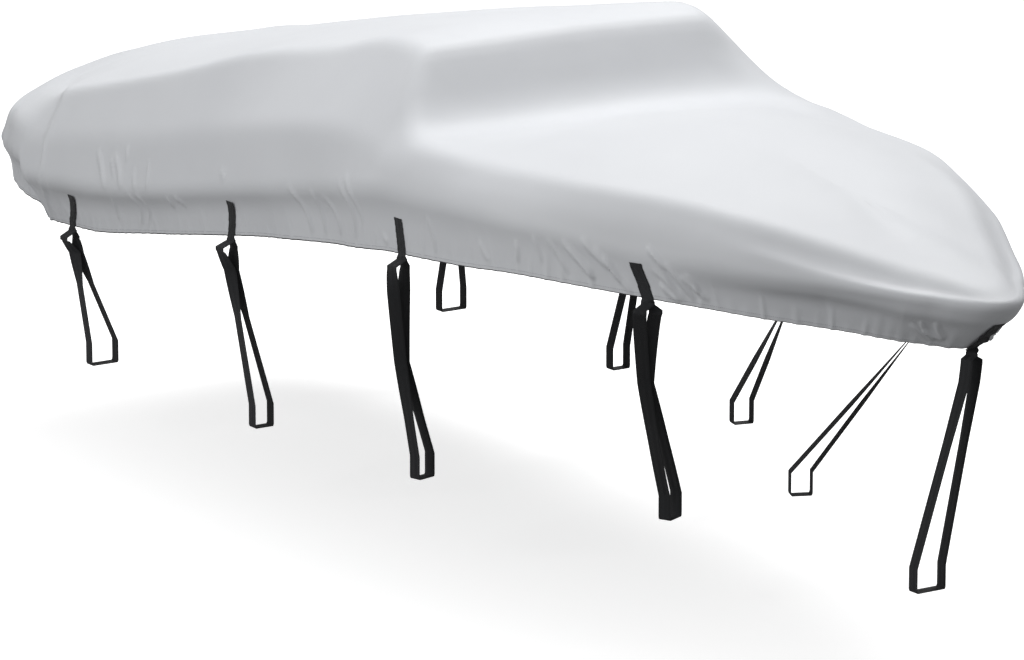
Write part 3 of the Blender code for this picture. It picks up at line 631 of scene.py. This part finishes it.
# Solution-dyed polyester with a silver coating, woven and calendered: smooth and even,
# with a soft sheen, a faint grain of the yarns and very shallow waves where it hangs.
silver_polyester, tree, shader = new_material("silver_coated_polyester")
cloth_uv = node(tree, "ShaderNodeUVMap", uv_map="cloth").outputs["UV"]
place = node(tree, "ShaderNodeTexCoord").outputs["Object"]
shade = node(tree, "ShaderNodeTexNoise", {"Vector": place, "Scale": 1.6, "Detail": 3.0})
tint = node(tree, "ShaderNodeMix", {
    "Factor": shade.outputs["Fac"], "A": linear("#C6C8CC"), "B": linear("#CFD1D4"),
}, data_type="RGBA")
tree.links.new(tint.outputs["Result"], shader.inputs["Base Color"])
waves = node(tree, "ShaderNodeTexNoise", {"Vector": place, "Scale": 3.2, "Detail": 2.0})
wave_bump = node(tree, "ShaderNodeBump", {
    "Strength": 0.5, "Distance": 0.010, "Height": waves.outputs["Fac"],
})
YARN = 0.0016              # drawn coarser than the real 0.4 mm, so that it shows
yarns = node(tree, "ShaderNodeVectorMath", {0: cloth_uv, 3: 2.0 * math.pi / YARN}, operation="SCALE")
yarn_axes = node(tree, "ShaderNodeSeparateXYZ", {0: yarns.outputs[0]})
warp = node(tree, "ShaderNodeMath", {0: yarn_axes.outputs["X"]}, operation="SINE")
weft = node(tree, "ShaderNodeMath", {0: yarn_axes.outputs["Y"]}, operation="SINE")
weave = node(tree, "ShaderNodeMath", {0: warp.outputs[0], 1: weft.outputs[0]}, operation="MULTIPLY")
yarn_bump = node(tree, "ShaderNodeBump", {
    "Strength": 0.25, "Distance": 0.0002, "Height": weave.outputs[0],
    "Normal": wave_bump.outputs[0],
})
tree.links.new(yarn_bump.outputs[0], shader.inputs["Normal"])
shader.inputs["Roughness"].default_value = 0.55
shader.inputs["Specular IOR Level"].default_value = 0.35
shader.inputs["Sheen Weight"].default_value = 0.12
shader.inputs["Sheen Roughness"].default_value = 0.5

# the back of the same cloth, a duller grey with its waterproof coating
coated_back, tree, shader = new_material("polyurethane_coated_back")
place = node(tree, "ShaderNodeTexCoord").outputs["Object"]
shade = node(tree, "ShaderNodeTexNoise", {"Vector": place, "Scale": 4.0, "Detail": 3.0})
tint = node(tree, "ShaderNodeMix", {
    "Factor": shade.outputs["Fac"], "A": linear("#8B8E93"), "B": linear("#96999D"),
}, data_type="RGBA")
tree.links.new(tint.outputs["Result"], shader.inputs["Base Color"])
shader.inputs["Roughness"].default_value = 0.45
cover_mesh.materials.append(silver_polyester)
cover_mesh.materials.append(coated_back)

# a narrow near-black band round the hem's edge: a painted shadow, standing in for the line of shade under
# the hem
painted_hem_shadow, _, shader = new_material("painted_hem_shadow_band")
shader.inputs["Base Color"].default_value = linear("#2A2A2C")
shader.inputs["Roughness"].default_value = 0.7
cover_mesh.materials.append(painted_hem_shadow)

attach(cover, "root")
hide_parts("cover")

# ---- Tabs ----
# Nine tabs of 2 inch black polypropylene webbing, sewn flat on the skirt round the hem.
# Each one's tail hangs below the hem, where the two ends of its tie-down are sewn on.
WEB_WIDE = 0.052
WEB_THICK = 0.0024
# Each row: the hem point that the tab hangs from, how far its top stands forward of that,
# how far it reaches up the skirt, the heading to which its tail turns, and the tail's
# length as a share of TAIL_LONG.
Tab = namedtuple("Tab", "name x_hem lean reach tail_heading tail")
SIDE_TABS = [
    Tab("1", -2.100, 0.095, 0.158, 6.0, 1.0),
    Tab("2", -0.734, 0.045, 0.150, 6.0, 1.0),
    Tab("3", 0.525, -0.015, 0.140, 12.0, 1.0),
    Tab("4", 1.775, -0.047, 0.128, 46.0, 1.0),
]
BOW_TAB = Tab("bow", 2.744, 0.0, 0.200, 12.0, 1.45)
TAB_OFF = 0.0004           # the tab's inner face stands this far off the cloth
# below the hem the tail turns, and then hangs straight: how far down, and the turn's share
TAIL_TURNS = ((0.002, 0.0), (0.0045, 0.22), (0.007, 0.48), (0.009, 0.74), (0.0115, 1.0))
TAIL_LONG = 0.028
TAIL_END = ((0.016, 1.0), (0.022, 1.0), (TAIL_LONG, 1.0))
TAB_STEPS = 20             # spans of a tab from its top to the hem
HEM_SAMPLES = 2401         # places along the hem among which a tab's is looked for
HEM_REACH = 6              # samples either way that give the hem's direction
SKIRT_SHARE = 0.35         # the lower share of a profile that a tab may lie on
SKIRT_SAMPLES = 300
SEARCH_OUT = 0.03          # how far outside the skirt the search for its face starts
EDGE_IN = 0.03             # webbing is rounded over this share of its width
EDGE_LIFT = 0.45           # and has this share of its thickness at the very edge
cover_skin = BVHTree.FromObject(cover, bpy.context.evaluated_depsgraph_get())


def hem_frame(x_hem, side):
    """A place on the hem: its profile, and the directions along and out from the hem."""
    at = hem_lengths()
    rows = smooth_rows(at, np.array(PROFILES), np.linspace(0.0, at[-1], HEM_SAMPLES))
    last = len(rows) - 1
    k = int(np.argmin(np.abs(rows[:, 1] - x_hem)))
    if k == last:
        return rows[k], Vector((0.0, 1.0, 0.0)), Vector((1.0, 0.0, 0.0))
    ahead = rows[min(k + HEM_REACH, last)]
    behind = rows[k - HEM_REACH]
    along = Vector((ahead[1] - behind[1], side * (ahead[2] - behind[2]), 0.0))
    along.normalize()
    return rows[k], along, Vector((-side * along.y, side * along.x, 0.0))


def plan_heading(degrees, side):
    """A level direction, in degrees from +X towards the centreline (to port at the bow)."""
    angle = math.radians(degrees)
    return Vector((math.cos(angle), -(side or -1) * math.sin(angle), 0.0))


def turned(start, end, share):
    """The level direction a share of the turn from one to another."""
    return start.lerp(end, min(max(share, 0.0), 1.0)).normalized()


def webbing_piece(name, sections, material, across=5):
    """A band of webbing through pairs of edge points, its edges a little rounded."""
    bm = bmesh.new()
    uv_layer = bm.loops.layers.uv.new("web")
    last = len(sections) - 1
    middles = [(a + b) * 0.5 for a, b in sections]
    run = [0.0]
    for a, b in zip(middles[:-1], middles[1:]):
        run.append(run[-1] + (b - a).length)
    rings = []
    at = {}
    shares = [0.0, EDGE_IN] + [k / across for k in range(1, across)] + [1.0 - EDGE_IN, 1.0]
    for i, (left, right) in enumerate(sections):
        ahead = sections[min(i + 1, last)]
        behind = sections[max(i - 1, 0)]
        along = (ahead[0] + ahead[1]) - (behind[0] + behind[1])
        face = (right - left).cross(along).normalized() * (WEB_THICK * 0.5)
        ring = []
        for sign in (1.0, -1.0):
            for share in (shares if sign > 0 else shares[::-1]):
                lift = EDGE_LIFT if share in (0.0, 1.0) else 1.0
                vert = bm.verts.new(left.lerp(right, share) + face * (sign * lift))
                at[vert] = (share * WEB_WIDE, run[i])
                ring.append(vert)
        rings.append(ring)
    size = len(rings[0])
    made = []
    for a, b in zip(rings[:-1], rings[1:]):
        for j in range(size):
            k = (j + 1) % size
            made.append(bm.faces.new((a[j], a[k], b[k])))
            made.append(bm.faces.new((a[j], b[k], b[j])))
    made.append(bm.faces.new(rings[0][::-1]))
    made.append(bm.faces.new(rings[-1]))
    for face in made:
        for loop in face.loops:
            loop[uv_layer].uv = at[loop.vert]
    bmesh.ops.recalc_face_normals(bm, faces=bm.faces)
    mesh = bpy.data.meshes.new(name)
    bm.to_mesh(mesh)
    bm.free()
    mesh.materials.append(material)
    mesh.shade_smooth()
    mesh.set_sharp_from_angle(angle=math.radians(45.0))
    piece = bpy.data.objects.new(name, mesh)
    bpy.context.scene.collection.objects.link(piece)
    return piece


# Black polypropylene webbing: dull, ribbed across by its weft and herringboned by its
# warp. Its colour is a little greyer on the ribs' crests and darker between them: painted highlight and
# painted shade of the ribs.
black_webbing, tree, shader = new_material("woven_polypropylene_webbing")
web_uv = node(tree, "ShaderNodeUVMap", uv_map="web").outputs["UV"]
web_axes = node(tree, "ShaderNodeSeparateXYZ", {0: web_uv})
WEFT_PITCH = 0.0032        # drawn at twice the real spacing, so that the ribs show
CHEVRON_WIDE = 0.0130
zigzag = node(tree, "ShaderNodeMath", {
    0: web_axes.outputs["X"], 1: CHEVRON_WIDE,
}, operation="PINGPONG")
slant = node(tree, "ShaderNodeMath", {
    0: web_axes.outputs["Y"], 1: zigzag.outputs[0],
}, operation="ADD")
phase = node(tree, "ShaderNodeMath", {
    0: slant.outputs[0], 1: 2.0 * math.pi / WEFT_PITCH,
}, operation="MULTIPLY")
ribs = node(tree, "ShaderNodeMath", {0: phase.outputs[0]}, operation="SINE")
rib_bump = node(tree, "ShaderNodeBump", {
    "Strength": 0.6, "Distance": 0.0004, "Height": ribs.outputs[0],
})
tree.links.new(rib_bump.outputs[0], shader.inputs["Normal"])
rib_share = node(tree, "ShaderNodeMapRange", {
    "Value": ribs.outputs[0], "From Min": -1.0, "From Max": 1.0,
})
# the tint follows the ribs: painted highlight on their crests, painted shade between them
tint = node(tree, "ShaderNodeMix", {
    "Factor": rib_share.outputs[0], "A": linear("#17181A"), "B": linear("#2B2C2F"),
}, data_type="RGBA")
tree.links.new(tint.outputs["Result"], shader.inputs["Base Color"])
shader.inputs["Roughness"].default_value = 0.62
shader.inputs["Specular IOR Level"].default_value = 0.3
shader.inputs["Sheen Weight"].default_value = 0.08

knots = {}
tab_runs = {}
# each tab's and strap's label, its side (0 at the bow) and its tab
tie_sets = [("bow", 0, BOW_TAB)]
for side, hand in ((-1, "stbd"), (1, "port")):
    tie_sets += [(f"{hand}_{tab.name}", side, tab) for tab in SIDE_TABS]
for label, side, tab in tie_sets:
    _, along, out = hem_frame(tab.x_hem, side)
    sections = []
    for share in np.linspace(1.0, 0.0, TAB_STEPS + 1):
        here, _, _ = hem_frame(tab.x_hem + tab.lean * share, side)
        line, heights = cover_grid([here], np.linspace(0.0, SKIRT_SHARE, SKIRT_SAMPLES), side or -1)
        points = [Vector(p) for p in line[0]]
        k = int(np.searchsorted(heights[0], tab.reach * share))
        k = min(max(k, 1), len(points) - 1)
        place = points[k] if share > 0.0 else points[0]
        rise = (points[k] - points[k - 1]).normalized()
        lift = along.cross(rise).normalized()
        if lift.dot(out) < 0.0:
            lift = -lift
        half = along * (WEB_WIDE * 0.5)
        found = [
            cover_skin.ray_cast(place + side_step + lift * SEARCH_OUT, -lift)[0]
            for side_step in (-half, -half * 0.5, Vector(), half * 0.5, half)
        ]
        found = [f for f in found if f is not None]
        # the tab lies clear of the highest place of the cloth under its width
        highest = max(((f - place).dot(lift) for f in found), default=0.0)
        level = place + lift * (highest + 0.5 * WEB_THICK + TAB_OFF)
        sections.append((level - half, level + half))
    tail = (sections[-1][0] + sections[-1][1]) * 0.5
    nearest = int(np.argmin(np.abs(fine_rows[:, 1] - tab.x_hem)))
    hem_high = Profile(*fine_rows[nearest]).z_hem
    flat = plan_heading(tab.tail_heading, side)
    for drop, share in TAIL_TURNS + TAIL_END:
        middle = Vector((tail.x, tail.y, hem_high - drop * tab.tail))
        half = turned(along, flat, share) * (WEB_WIDE * 0.5)
        sections.append((middle - half, middle + half))
    knots[label] = Vector((tail.x, tail.y, hem_high))
    tab_runs[label] = sections
    piece = webbing_piece(f"tab_web_{label}", sections, black_webbing)
    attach(piece, "root")
    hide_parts(f"tab_{label}")

# ---- Tie-downs ----
# Nine straps of the same webbing. Both ends of each are sewn to the two faces of a tab's
# tail; its plies part below the hem, close up at the waist and pass round a frame rail.
# Each row: where the rail's underside is, the rail's width and heading, the heading along
# which the plies part, how far the strap's top leans aft, how far the plies stand apart at
# the top and at the waist, where that waist is, and how far the strap sags aft there.
Seat = namedtuple("Seat", "x y z rail_wide heading apart lean parted pinch waist sag")
SIDE_SEATS = [
    Seat(-2.012, -0.868, -1.695, 0.120, 0.0, 90.0, 0.012, 0.058, 0.015, 0.14, -0.008),
    Seat(-0.745, -0.868, -1.695, 0.080, 0.0, 90.0, 0.018, 0.066, 0.014, 0.14, 0.000),
    Seat(0.279, -0.763, -1.695, 0.080, 14.0, 90.0, 0.013, 0.060, 0.014, 0.50, 0.033),
    Seat(1.302, -0.306, -1.695, 0.080, 24.0, 70.0, 0.000, 0.060, 0.015, 0.38, 0.040),
]
BOW_SEAT = Seat(2.506, 0.0, -1.742, 0.125, 0.0, 90.0, 0.000, 0.050, 0.050, 0.10, -0.012)
PLY_START = 0.0135         # a ply's sewn end, this far below the hem
PLY_GAP = 0.0004           # between a ply and the tab's tail
CORNER_DROP = 0.050        # the plies bend apart this far below the hem
CORNER_BEND = 0.007
SAG_POWER = 0.8            # how soon the sag sets in above the waist
SAG_HEADING = 56.0         # heading along which the straps lean and sag
HANG_HEADING = 42.0        # a side strap turns to at least this heading just below its tab
HANG_SHARE = 0.13          # over this share of the way to the rail
RAIL_SHARE = 0.30          # and to the rail's over this share, from the waist on
SEAT_CORNER = 0.010        # a strap turns under the rail from this height
SEAT_INSET = 0.002         # to this far in from the rail's edge
SEAT_EASE = 0.003          # and half way round stands this high
RAIL_HIGH = 0.092          # height of the plies' foot above the seat
# where a ply has its cross-sections, as shares of the way from its corner to its foot
WAYS_DOWN = np.concatenate([np.linspace(0.02, 0.5, 25), np.linspace(0.53, 1.0, 16)])


def parting(seat, down):
    """How far a strap's plies stand apart at a share of the way to the rail."""
    if down < seat.waist:
        return seat.pinch + (seat.parted - seat.pinch) * (1.0 - down / seat.waist)
    over = (down - seat.waist) / (1.0 - seat.waist)
    return seat.pinch + (seat.rail_wide + 2.0 * WEB_THICK - seat.pinch) * over


def sag_at(seat, down):
    """How far a strap hangs off the straight line at a share of the way to the rail."""
    if down < seat.waist:
        return seat.sag * (down / seat.waist) ** SAG_POWER
    return seat.sag * (1.0 - down) / (1.0 - seat.waist)


def ply_middles(knot, tab, seat, side, way):
    """One ply's middle points and headings: way is 1 outside the rail, -1 inside."""
    flat = plan_heading(tab.tail_heading, side)
    rail = plan_heading(seat.heading, side)
    hang = plan_heading(max(HANG_HEADING, tab.tail_heading), side) if side else flat
    face = -plan_heading(tab.tail_heading + 90.0, side)
    apart = -plan_heading(seat.apart, side)
    across = -plan_heading(seat.heading + 90.0, side)
    aft = -plan_heading(SAG_HEADING if side else 0.0, side)
    up = Vector((0.0, 0.0, 1.0))
    foot = Vector((seat.x, -side * seat.y, seat.z + RAIL_HIGH))
    corner = knot + aft * seat.lean - up * CORNER_DROP
    made = []
    for drop in (PLY_START, 0.5 * (PLY_START + TAIL_LONG)):
        sewn = knot - up * (drop * tab.tail)
        made.append((sewn + face * (way * (WEB_THICK + PLY_GAP)), flat))
    for rise in (CORNER_BEND, -CORNER_BEND):
        made.append((corner + apart * (0.5 * way * seat.parted) + up * rise, flat))
    for down in WAYS_DOWN:
        middle = corner.lerp(foot, down) + aft * sag_at(seat, down)
        middle += turned(apart, across, down) * (0.5 * way * parting(seat, down))
        heading = turned(flat, hang, down / HANG_SHARE)
        heading = turned(heading, rail, (down - seat.waist) / RAIL_SHARE)
        made.append((middle, heading))
    return made


for label, side, tab in tie_sets:
    seat = BOW_SEAT if side == 0 else SIDE_SEATS[int(tab.name) - 1]
    knot = knots[label]
    across = -plan_heading(seat.heading + 90.0, side)
    seat_at = Vector((seat.x, -side * seat.y, seat.z))
    rail = plan_heading(seat.heading, side)
    reach = 0.5 * seat.rail_wide
    under = []
    for sideways, high in (
        (reach + WEB_THICK, SEAT_CORNER),
        (reach + 0.6 * WEB_THICK - SEAT_INSET * 0.3, SEAT_EASE),
        (reach - SEAT_INSET, 0.0),
        (0.0, 0.0),
        (SEAT_INSET - reach, 0.0),
        (SEAT_INSET * 0.3 - reach - 0.6 * WEB_THICK, SEAT_EASE),
        (-reach - WEB_THICK, SEAT_CORNER),
    ):
        under.append((seat_at + across * sideways + Vector((0.0, 0.0, high)), rail))
    path = ply_middles(knot, tab, seat, side, 1) + under
    path += ply_middles(knot, tab, seat, side, -1)[::-1]
    sections = [(p - d * (0.5 * WEB_WIDE), p + d * (0.5 * WEB_WIDE)) for p, d in path]
    piece = webbing_piece(f"tie_down_{label}", sections, black_webbing, across=4)
    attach(piece, "root")
    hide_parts(f"strap_{label}")

# ---- Stitching ----
# A row of grey polyester lockstitch holds the doubled hem all the way round, and two
# crossed boxes of black thread hold each tab down. One short stitch repeats along them.
THREAD_THICK = 0.0013      # drawn thicker than real thread, so that it shows
STITCH_LONG = 0.0052
STITCH_STEP = 0.0078
HEM_ROW_UP = 0.016         # the hem's row stands this far up from its edge
HEM_ROW_SKIP = 3           # it is laid through every third cross-section
HEM_ROW_SHARE = 0.06       # the lower share of a cross-section searched for it
HEM_ROW_SAMPLES = 25
HEM_ROW_RISE = 8           # samples that give the way up the skirt
BOX_ENDS = ((0.05, 0.46), (0.54, 0.95))   # each box's top and bottom, as shares of the tab
BOX_SIDES = (0.14, 0.86)   # and its sides
BOX_STEPS = 8
THREAD_LIFT = 0.2 * THREAD_THICK          # a stitch's middle stands this far off the cloth


def thread_material(name, dark, light):
    """Twisted thread: a fine slanting ridge, lighter on its crest and darker beside it, a painted highlight
    and shade.
    """
    made, tree, shader = new_material(name)
    place = node(tree, "ShaderNodeTexCoord").outputs["Object"]
    twist = node(tree, "ShaderNodeTexWave", {"Vector": place, "Scale": 420.0, "Distortion": 2.0})
    # the tone follows the twist's ridges: painted highlight on them, painted shade between them
    tone = node(tree, "ShaderNodeMix", {
        "Factor": twist.outputs["Fac"], "A": linear(dark), "B": linear(light),
    }, data_type="RGBA")
    tree.links.new(tone.outputs["Result"], shader.inputs["Base Color"])
    bump = node(tree, "ShaderNodeBump", {
        "Strength": 0.5, "Distance": 0.0002, "Height": twist.outputs["Fac"],
    })
    tree.links.new(bump.outputs[0], shader.inputs["Normal"])
    shader.inputs["Roughness"].default_value = 0.6
    return made


def stitch_nodes():
    """A node group that lays a short stitch at even steps along every line it is given."""
    group = bpy.data.node_groups.new("stitches_along_lines", "GeometryNodeTree")
    face = group.interface
    face.new_socket("Lines", in_out="INPUT", socket_type="NodeSocketGeometry")
    for name in ("Step", "Stitch length", "Thread radius"):
        face.new_socket(name, in_out="INPUT", socket_type="NodeSocketFloat")
    face.new_socket("Thread", in_out="INPUT", socket_type="NodeSocketMaterial")
    face.new_socket("Stitches", in_out="OUTPUT", socket_type="NodeSocketGeometry")
    given = node(group, "NodeGroupInput").outputs
    curve = node(group, "GeometryNodeMeshToCurve", {"Mesh": given["Lines"]})
    stepped = node(group, "GeometryNodeResampleCurve", {
        "Curve": curve.outputs[0], "Length": given["Step"],
    }, mode="LENGTH")
    stitch = node(group, "GeometryNodeMeshCylinder", {
        "Vertices": 6, "Radius": given["Thread radius"], "Depth": given["Stitch length"],
    })
    tangent = node(group, "GeometryNodeInputTangent")
    turned_to = node(group, "FunctionNodeAlignRotationToVector", {
        "Vector": tangent.outputs[0],
    }, axis="Z")
    laid = node(group, "GeometryNodeInstanceOnPoints", {
        "Points": stepped.outputs[0], "Instance": stitch.outputs["Mesh"],
        "Rotation": turned_to.outputs[0],
    })
    real = node(group, "GeometryNodeRealizeInstances", {"Geometry": laid.outputs[0]})
    coloured = node(group, "GeometryNodeSetMaterial", {
        "Geometry": real.outputs[0], "Material": given["Thread"],
    })
    node(group, "NodeGroupOutput", {"Stitches": coloured.outputs[0]})
    return group


def stitch_piece(name, lines, thread):
    """Stitches along lines of places, as one plain mesh."""
    places = [p for line in lines for p in line]
    edges = []
    first = 0
    for line in lines:
        edges += [(first + k, first + k + 1) for k in range(len(line) - 1)]
        first += len(line)
    mesh = bpy.data.meshes.new(name + "_lines")
    mesh.from_pydata(places, edges, [])
    piece = bpy.data.objects.new(name, mesh)
    bpy.context.scene.collection.objects.link(piece)
    modifier = piece.modifiers.new("stitches", "NODES")
    modifier.node_group = STITCHES
    values = {
        "Step": STITCH_STEP, "Stitch length": STITCH_LONG,
        "Thread radius": 0.5 * THREAD_THICK, "Thread": thread,
    }
    for item in STITCHES.interface.items_tree:
        if item.in_out == "INPUT" and item.name in values:
            modifier[item.identifier] = values[item.name]
    bpy.context.view_layer.update()
    done = piece.evaluated_get(bpy.context.evaluated_depsgraph_get())
    stitched = bpy.data.meshes.new_from_object(done)
    piece.modifiers.clear()
    piece.data = stitched
    stitched.name = name
    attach(piece, "root")
    return piece


def tab_line(sections, corners, out):
    """Places on a tab's outer face along a line of (down, across) corners."""
    line = []
    for (down_a, across_a), (down_b, across_b) in zip(corners[:-1], corners[1:]):
        for k in range(BOX_STEPS):
            t = k / (BOX_STEPS - 1)
            at = TAB_STEPS * (down_a + (down_b - down_a) * t)
            low = min(int(at), TAB_STEPS - 1)
            left = sections[low][0].lerp(sections[low + 1][0], at - low)
            right = sections[low][1].lerp(sections[low + 1][1], at - low)
            facing = (right - left).cross(sections[low + 1][0] - sections[low][0]).normalized()
            if facing.dot(out) < 0.0:
                facing = -facing
            across = across_a + (across_b - across_a) * t
            line.append(left.lerp(right, across) + facing * (0.5 * WEB_THICK + THREAD_LIFT))
    return line


STITCHES = stitch_nodes()
hem_lines = []
for side in (-1, 1):
    line = []
    shares = np.linspace(0.0, HEM_ROW_SHARE, HEM_ROW_SAMPLES)
    places, ups = cover_grid(fine_rows[::HEM_ROW_SKIP], shares, side)
    for i in range(len(places)):
        spot = Vector([float(np.interp(HEM_ROW_UP, ups[i], places[i, :, k])) for k in range(3)])
        ahead = Vector(places[min(i + 1, len(places) - 1), 0] - places[max(i - 1, 0), 0])
        rise = Vector(places[i, HEM_ROW_RISE] - places[i, 0])
        facing = ahead.cross(rise).normalized() * (-side)
        if facing.dot(Vector((spot.x, spot.y, 0.0))) < 0.0:
            facing = -facing
        hit = cover_skin.ray_cast(spot + facing * SEARCH_OUT, -facing)[0]
        line.append((hit or spot) + facing * THREAD_LIFT)
    hem_lines.append(line)
grey_thread = thread_material("grey_polyester_thread", "#8E9195", "#B4B7BB")
hem_stitches = stitch_piece("hem_stitches", hem_lines, grey_thread)
tab_lines = []
for label, side, tab in tie_sets:
    out = hem_frame(tab.x_hem, side)[2]
    for top, bottom in BOX_ENDS:
        near, far = BOX_SIDES
        box = [(top, near), (top, far), (bottom, far), (bottom, near), (top, near), (bottom, far)]
        tab_lines.append(tab_line(tab_runs[label], box, out))
        tab_lines.append(tab_line(tab_runs[label], [(top, far), (bottom, near)], out))
black_thread = thread_material("black_bonded_thread", "#17181A", "#3A3B3E")
stitch_piece("tab_stitches", tab_lines, black_thread)

# ---- Floor and light ----
# A plain pale floor where the trailer's wheels would stand, matt painted and brightened
# for the camera alone. Three square soft boxes and a white world light the cover: the key
# high to port, a dim one overhead and a lower one to starboard.
FLOOR_HIGH = -2.03
FLOOR_HALF = 60.0
FLOOR_GLOW = 0.55
floor_mesh = bpy.data.meshes.new("floor")
floor_mesh.from_pydata(
    [(-FLOOR_HALF, -FLOOR_HALF, FLOOR_HIGH), (FLOOR_HALF, -FLOOR_HALF, FLOOR_HIGH),
     (FLOOR_HALF, FLOOR_HALF, FLOOR_HIGH), (-FLOOR_HALF, FLOOR_HALF, FLOOR_HIGH)],
    [], [(0, 1, 2, 3)],
)
floor = bpy.data.objects.new("floor", floor_mesh)
bpy.context.scene.collection.objects.link(floor)
pale_floor, tree, shader = new_material("matt_painted_floor")
shader.inputs["Roughness"].default_value = 0.9
shader.inputs["Specular IOR Level"].default_value = 0.1
seen = node(tree, "ShaderNodeLightPath").outputs["Is Camera Ray"]
paint = node(tree, "ShaderNodeMix", {
    "Factor": seen, "A": linear("#808080"), "B": linear("#F0F0F0"),
}, data_type="RGBA")
tree.links.new(paint.outputs["Result"], shader.inputs["Base Color"])
shader.inputs["Emission Color"].default_value = (1.0, 1.0, 1.0, 1.0)
glow = node(tree, "ShaderNodeMath", {0: seen, 1: FLOOR_GLOW}, operation="MULTIPLY")
tree.links.new(glow.outputs[0], shader.inputs["Emission Strength"])
floor_mesh.materials.append(pale_floor)


def soft_light(name, place, aim, size, power):
    """A square soft box: where it stands and points, its side in metres, its watts."""
    lamp = bpy.data.lights.new(name, "AREA")
    lamp.shape = "SQUARE"
    lamp.size = size
    lamp.energy = power
    made = bpy.data.objects.new(name, lamp)
    bpy.context.scene.collection.objects.link(made)
    made.location = place
    made.rotation_euler = (Vector(aim) - Vector(place)).to_track_quat("-Z", "Y").to_euler()
    return made


soft_light("port_key", (-2.4, 3.9, 7.9), (-0.3, 0.0, -0.4), 6.0, 900.0)
soft_light("bow_box", (0.2, -0.5, 9.2), (-0.4, 0.0, -0.4), 4.0, 60.0)
soft_light("starboard_box", (-0.2, -9.1, 3.0), (0.0, 0.0, -0.4), 6.0, 345.0)
WORLD_STRENGTH = 0.46
world = bpy.data.worlds.new("studio_white")
world.use_nodes = True
world.node_tree.nodes["Background"].inputs["Color"].default_value = (1.0, 1.0, 1.0, 1.0)
world.node_tree.nodes["Background"].inputs["Strength"].default_value = WORLD_STRENGTH
bpy.context.scene.world = world
bpy.context.scene.view_settings.view_transform = "Standard"
